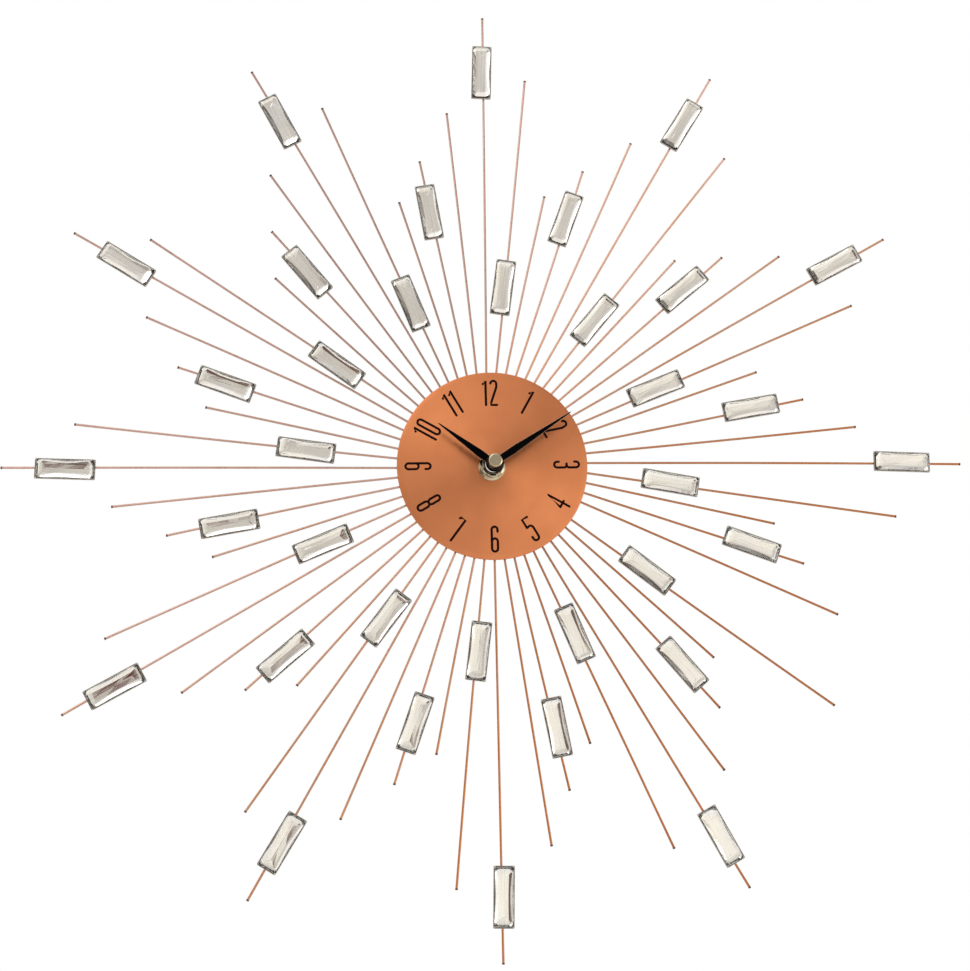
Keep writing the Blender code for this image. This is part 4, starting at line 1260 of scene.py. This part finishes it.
def knob():
    """The setting knob keeps its pinion and gets a fluted grip with a dished face."""
    low, high = face_box("setting_knob")
    centre = middle("setting_knob").xy
    radius = 4.5
    bm = copy_of("setting_knob")
    steps = 144

    def fluted(height, reach, depth):
        points = []
        for k in range(steps):
            angle = 2 * math.pi * k / steps
            r = reach - depth * (0.5 + 0.5 * math.cos(24 * angle))
            points.append((centre.x + r * math.cos(angle), centre.y + r * math.sin(angle), height))
        return points

    grip = high.z if high.z - low.z < 2.5 else low.z + 2.2
    for vert in bm.verts:
        if (vert.co.xy - centre).length > radius - 0.6 and vert.co.z < grip:
            vert.co.xy = centre + (vert.co.xy - centre) * ((radius - 0.35) / (vert.co.xy - centre).length)
        if vert.co.z < low.z + 0.01:
            vert.co.z = low.z + 0.3
    loops = [
        fluted(low.z + 0.9, radius - 0.5, 0.0),
        fluted(low.z + 0.9, radius - 0.02, 0.3),
        fluted(low.z + 0.12, radius - 0.02, 0.3),
        fluted(low.z, radius - 0.25, 0.15),
        fluted(low.z, radius - 0.9, 0.0),
        fluted(low.z + 0.25, radius - 1.2, 0.0),
    ]
    loft(bm, loops, False, True)
    bmesh.ops.recalc_face_normals(bm, faces=bm.faces)
    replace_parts(piece("knob_grip", bm, "knob", [WHITE_PLASTIC], smooth=32), "setting_knob")


def coil():
    """Turns of fine wire between two flanges."""
    low, high = face_box("coil")
    across = (high + low) / 2
    size = high - low
    bm = bmesh.new()
    flange = 0.9
    long_axis = 0 if size.x > size.y else 1
    for start, end in ((low[long_axis], low[long_axis] + flange), (high[long_axis] - flange, high[long_axis])):
        a, b = low.copy(), high.copy()
        a[long_axis], b[long_axis] = start, end
        rounded_box(bm, a, b, 0.15, 1)
    half_a = size[1 - long_axis] / 2 - 0.5
    half_b = size.z / 2 - 0.5
    turns = 26
    loops = []
    per_turn = 24
    run = size[long_axis] - 2 * flange
    for k in range(turns * per_turn + 1):
        angle = 2 * math.pi * k / per_turn
        place = low[long_axis] + flange + run * k / (turns * per_turn)
        ripple = 1 - 0.035 * (0.5 + 0.5 * math.cos(angle))
        cos, sin = math.cos(angle), math.sin(angle)
        square = max(abs(cos), abs(sin)) ** -0.7
        point = Vector((0, 0, across.z + half_b * sin * square * ripple))
        point[long_axis] = place
        point[1 - long_axis] = across[1 - long_axis] + half_a * cos * square * ripple
        loops.append(point)
    wire = run / turns / 2
    rings = []
    for i, point in enumerate(loops):
        outward = (point - across)
        outward[long_axis] = 0
        outward.normalize()
        along = Vector((0, 0, 0))
        along[long_axis] = 1
        rings.append([
            point + (outward * math.cos(turn) + along * math.sin(turn)) * wire
            for turn in (0, math.pi / 2, math.pi, 3 * math.pi / 2)
        ])
    loft(bm, rings)
    bmesh.ops.recalc_face_normals(bm, faces=bm.faces)
    winding = piece("coil_winding", bm, "clock", [COIL_COPPER, WHITE_PLASTIC], smooth=60)
    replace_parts(winding, "coil")


def battery():
    """An AA cell lying across the bay: shrunk wrap with a pale band at the button end, and steel ends."""
    low, high = face_box("battery")
    radius = (high - low).y / 2
    centre = (low + high) / 2
    length = high.x - low.x
    nub = 1.0
    body = length - nub
    bm = bmesh.new()
    steps = 64
    wrap = [
        (radius - 1.3, body - 0.1),
        (radius - 0.5, body - 0.02),
        (radius - 0.1, body - 0.25),
        (radius, body - 0.7),
        (radius, body - 12.0),
    ]
    plain = [
        (radius, body - 12.0),
        (radius, 0.7),
        (radius - 0.1, 0.25),
        (radius - 0.5, 0.02),
        (radius - 1.2, 0.1),
    ]
    negative = [(radius - 1.2, 0.1), (radius - 1.6, 0.25), (radius - 2.4, 0.05), (0.0, 0.05)]
    button = [
        (0.0, length),
        (2.4, length),
        (2.65, length - 0.2),
        (2.7, body + 0.1),
        (3.2, body - 0.2),
        (radius - 1.3, body - 0.2),
        (radius - 1.3, body - 0.1),
    ]
    for profile, material in ((button, 2), (wrap, 1), (plain, 0), (negative, 2)):
        turn_profile(bm, profile, steps, material=material, closed=False)
    bmesh.ops.remove_doubles(bm, verts=bm.verts, dist=1e-5)
    bmesh.ops.recalc_face_normals(bm, faces=bm.faces)
    lie = Matrix.Translation((low.x, centre.y, centre.z)) @ Matrix.Rotation(math.pi / 2, 4, "Y")
    obj = piece("cell", bm, "battery", [CELL_WRAP, CELL_BAND, STEEL], smooth=40, matrix=lie)
    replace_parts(obj, "battery")


# ---------------------------------------------------------------- studio


FLOOR_RADIUS = 2.6


def floor():
    """A pale disc whose edge melts into the white of the studio."""
    bm = bmesh.new()
    bmesh.ops.create_circle(bm, cap_ends=True, segments=96, radius=FLOOR_RADIUS)
    mesh = bpy.data.meshes.new("studio_floor")
    bm.to_mesh(mesh)
    bm.free()
    obj = bpy.data.objects.new("studio_floor", mesh)
    bpy.context.scene.collection.objects.link(obj)
    obj.location = (0, 0, cad_box[0].z - 0.3)
    n = Nodes("studio_floor_look")
    grain = n.noise(n.coordinates(), 3.0, 2)
    n.colour(n.ramp(grain, [(0.4, (0.86, 0.86, 0.86)), (0.6, (0.88, 0.88, 0.88))]))
    n.set(Roughness=0.9)
    length = n.add("ShaderNodeVectorMath", operation="LENGTH")
    n.link(n.coordinates(), length.inputs[0])
    edge = n.span(length.outputs["Value"], 1.0, 0.0, FLOOR_RADIUS * 0.35, FLOOR_RADIUS * 0.98)
    n.link(edge, n.shader.inputs["Alpha"])
    mesh.materials.append(n.material)


ROOM_TONES = (
    (0.025, (1.09, 1.05, 0.96)),
    (0.125, (1.00, 0.96, 0.88)),
    (0.21, (0.88, 0.85, 0.78)),
    (0.30, (0.64, 0.60, 0.55)),
    (0.375, (0.69, 0.66, 0.61)),
    (0.475, (0.67, 0.645, 0.62)),
    (0.62, (1.10, 1.07, 1.03)),
)
# What stands in the room: its direction, where it is whole and where it has faded out in degrees, its colour.
ROOM_OBJECTS = (
    ((0.66, -0.36, 0.66), 12, 28, (0.10, 0.08, 0.07)),
    ((-0.20, -0.97, -0.04), 5.0, 8.0, (0.10, 0.06, 0.045)),
    ((-0.11, -0.85, 0.06), 4.0, 6.0, (0.13, 0.045, 0.035)),
)


def world():
    """A pale studio: white behind the clock; in front a room that is creamy low and to the right, and a dusty rose
    grey high and to the left."""
    made = bpy.data.worlds.new("studio")
    made.use_nodes = True
    bpy.context.scene.world = made
    tree = made.node_tree

    def node(kind, **settings):
        new = tree.nodes.new(kind)
        for key, value in settings.items():
            setattr(new, key, value)
        return new

    def combine(operation, first, second):
        new = node("ShaderNodeMath", operation=operation)
        for slot, value in zip(new.inputs, (first, second)):
            if isinstance(value, float):
                slot.default_value = value
            else:
                tree.links.new(value, slot)
        return new.outputs["Value"]

    def mixed(factor, first, second):
        new = node("ShaderNodeMix", data_type="RGBA")
        slots = {slot.name: slot for slot in new.inputs if slot.enabled}
        for key, value in (("Factor", factor), ("A", first), ("B", second)):
            if isinstance(value, tuple):
                slots[key].default_value = (*value, 1)
            else:
                tree.links.new(value, slots[key])
        return next(slot for slot in new.outputs if slot.enabled)

    split = node("ShaderNodeSeparateXYZ")
    tree.links.new(node("ShaderNodeTexCoord").outputs["Generated"], split.inputs["Vector"])
    slope = combine("SUBTRACT", combine("MULTIPLY", split.outputs["Z"], 1.6), split.outputs["X"])
    room = node("ShaderNodeValToRGB")
    while len(room.color_ramp.elements) < len(ROOM_TONES):
        room.color_ramp.elements.new(0.5)
    for element, (position, colour) in zip(room.color_ramp.elements, ROOM_TONES):
        element.position = position
        element.color = (*colour, 1)
    tree.links.new(combine("MULTIPLY", combine("ADD", slope, 0.25), 0.5), room.inputs["Fac"])
    facing = room.outputs["Color"]
    for towards, inner, outer, colour in ROOM_OBJECTS:
        near = node("ShaderNodeVectorMath", operation="DOT_PRODUCT")
        tree.links.new(node("ShaderNodeTexCoord").outputs["Generated"], near.inputs[0])
        near.inputs[1].default_value = Vector(towards).normalized()
        fade = node("ShaderNodeMapRange", interpolation_type="SMOOTHSTEP")
        fade.inputs["From Min"].default_value = math.cos(math.radians(outer))
        fade.inputs["From Max"].default_value = math.cos(math.radians(inner))
        tree.links.new(near.outputs["Value"], fade.inputs["Value"])
        facing = mixed(fade.outputs["Result"], facing, colour)
    behind = node("ShaderNodeMapRange")
    behind.inputs["From Min"].default_value = -0.35
    behind.inputs["From Max"].default_value = 0.35
    tree.links.new(split.outputs["Y"], behind.inputs["Value"])
    around = mixed(behind.outputs["Result"], facing, (1.0, 1.0, 1.0))
    seen = node("ShaderNodeLightPath").outputs["Is Camera Ray"]
    background = tree.nodes["Background"]
    tree.links.new(mixed(seen, around, (1.0, 1.0, 1.0)), background.inputs["Color"])


def softbox(name, place, aim, width, height, power, colour=(1, 1, 1)):
    light = bpy.data.lights.new(name, "AREA")
    light.shape = "RECTANGLE"
    light.size, light.size_y = width, height
    light.energy = power
    light.color = colour
    obj = bpy.data.objects.new(name, light)
    bpy.context.scene.collection.objects.link(obj)
    obj.location = place
    obj.rotation_mode = "QUATERNION"
    obj.rotation_quaternion = (Vector(aim) - Vector(place)).to_track_quat("-Z", "Y")


def lights():
    centre = (0, 0, axis_height())
    softbox("key_box", (-0.90, -1.05, 1.25), centre, 1.2, 1.2, 7.5)
    softbox("fill_box", (1.65, -0.95, -0.30), centre, 1.0, 1.2, 5.5, (1.0, 0.96, 0.91))


CAMERA_PLACE = (-74.0, 851.2, -177.5)  # sideways, in front and upwards of the rays' centre, in millimetres
CAMERA_YAW = -4.723
CAMERA_PITCH = 11.067
CAMERA_ROLL = -0.54
CAMERA_LENS = 62.31


def camera():
    data = bpy.data.cameras.new("camera")
    data.sensor_width = 36
    data.sensor_fit = "AUTO"
    data.lens = CAMERA_LENS
    data.clip_start, data.clip_end = 0.01, 50
    obj = bpy.data.objects.new("camera", data)
    bpy.context.scene.collection.objects.link(obj)
    aside, ahead, up = CAMERA_PLACE
    centre = FACE @ Vector((DIAL_CENTRE.x, DIAL_CENTRE.y, RAY_HEIGHT))
    turn = Matrix.Rotation(math.radians(CAMERA_YAW), 3, "Z") @ Matrix.Rotation(math.radians(CAMERA_PITCH), 3, "X")
    turn @= Matrix.Rotation(math.radians(CAMERA_ROLL), 3, "Y")
    look = turn @ Matrix.Rotation(math.pi / 2, 3, "X")
    obj.matrix_world = Matrix.Translation(centre + Vector((aside, -ahead, up)) * MM) @ look.to_4x4()
    bpy.context.scene.camera = obj


# ---------------------------------------------------------------- assembly

wires()
mounting_plate()
crystals()
dial()
numerals()
washer()
nut()
bushing()
hands()
cap()
movement_parts()
cover()
latches()
knob()
coil()
battery()
floor()
world()
lights()
camera()
bpy.context.scene.view_settings.view_transform = "Standard"
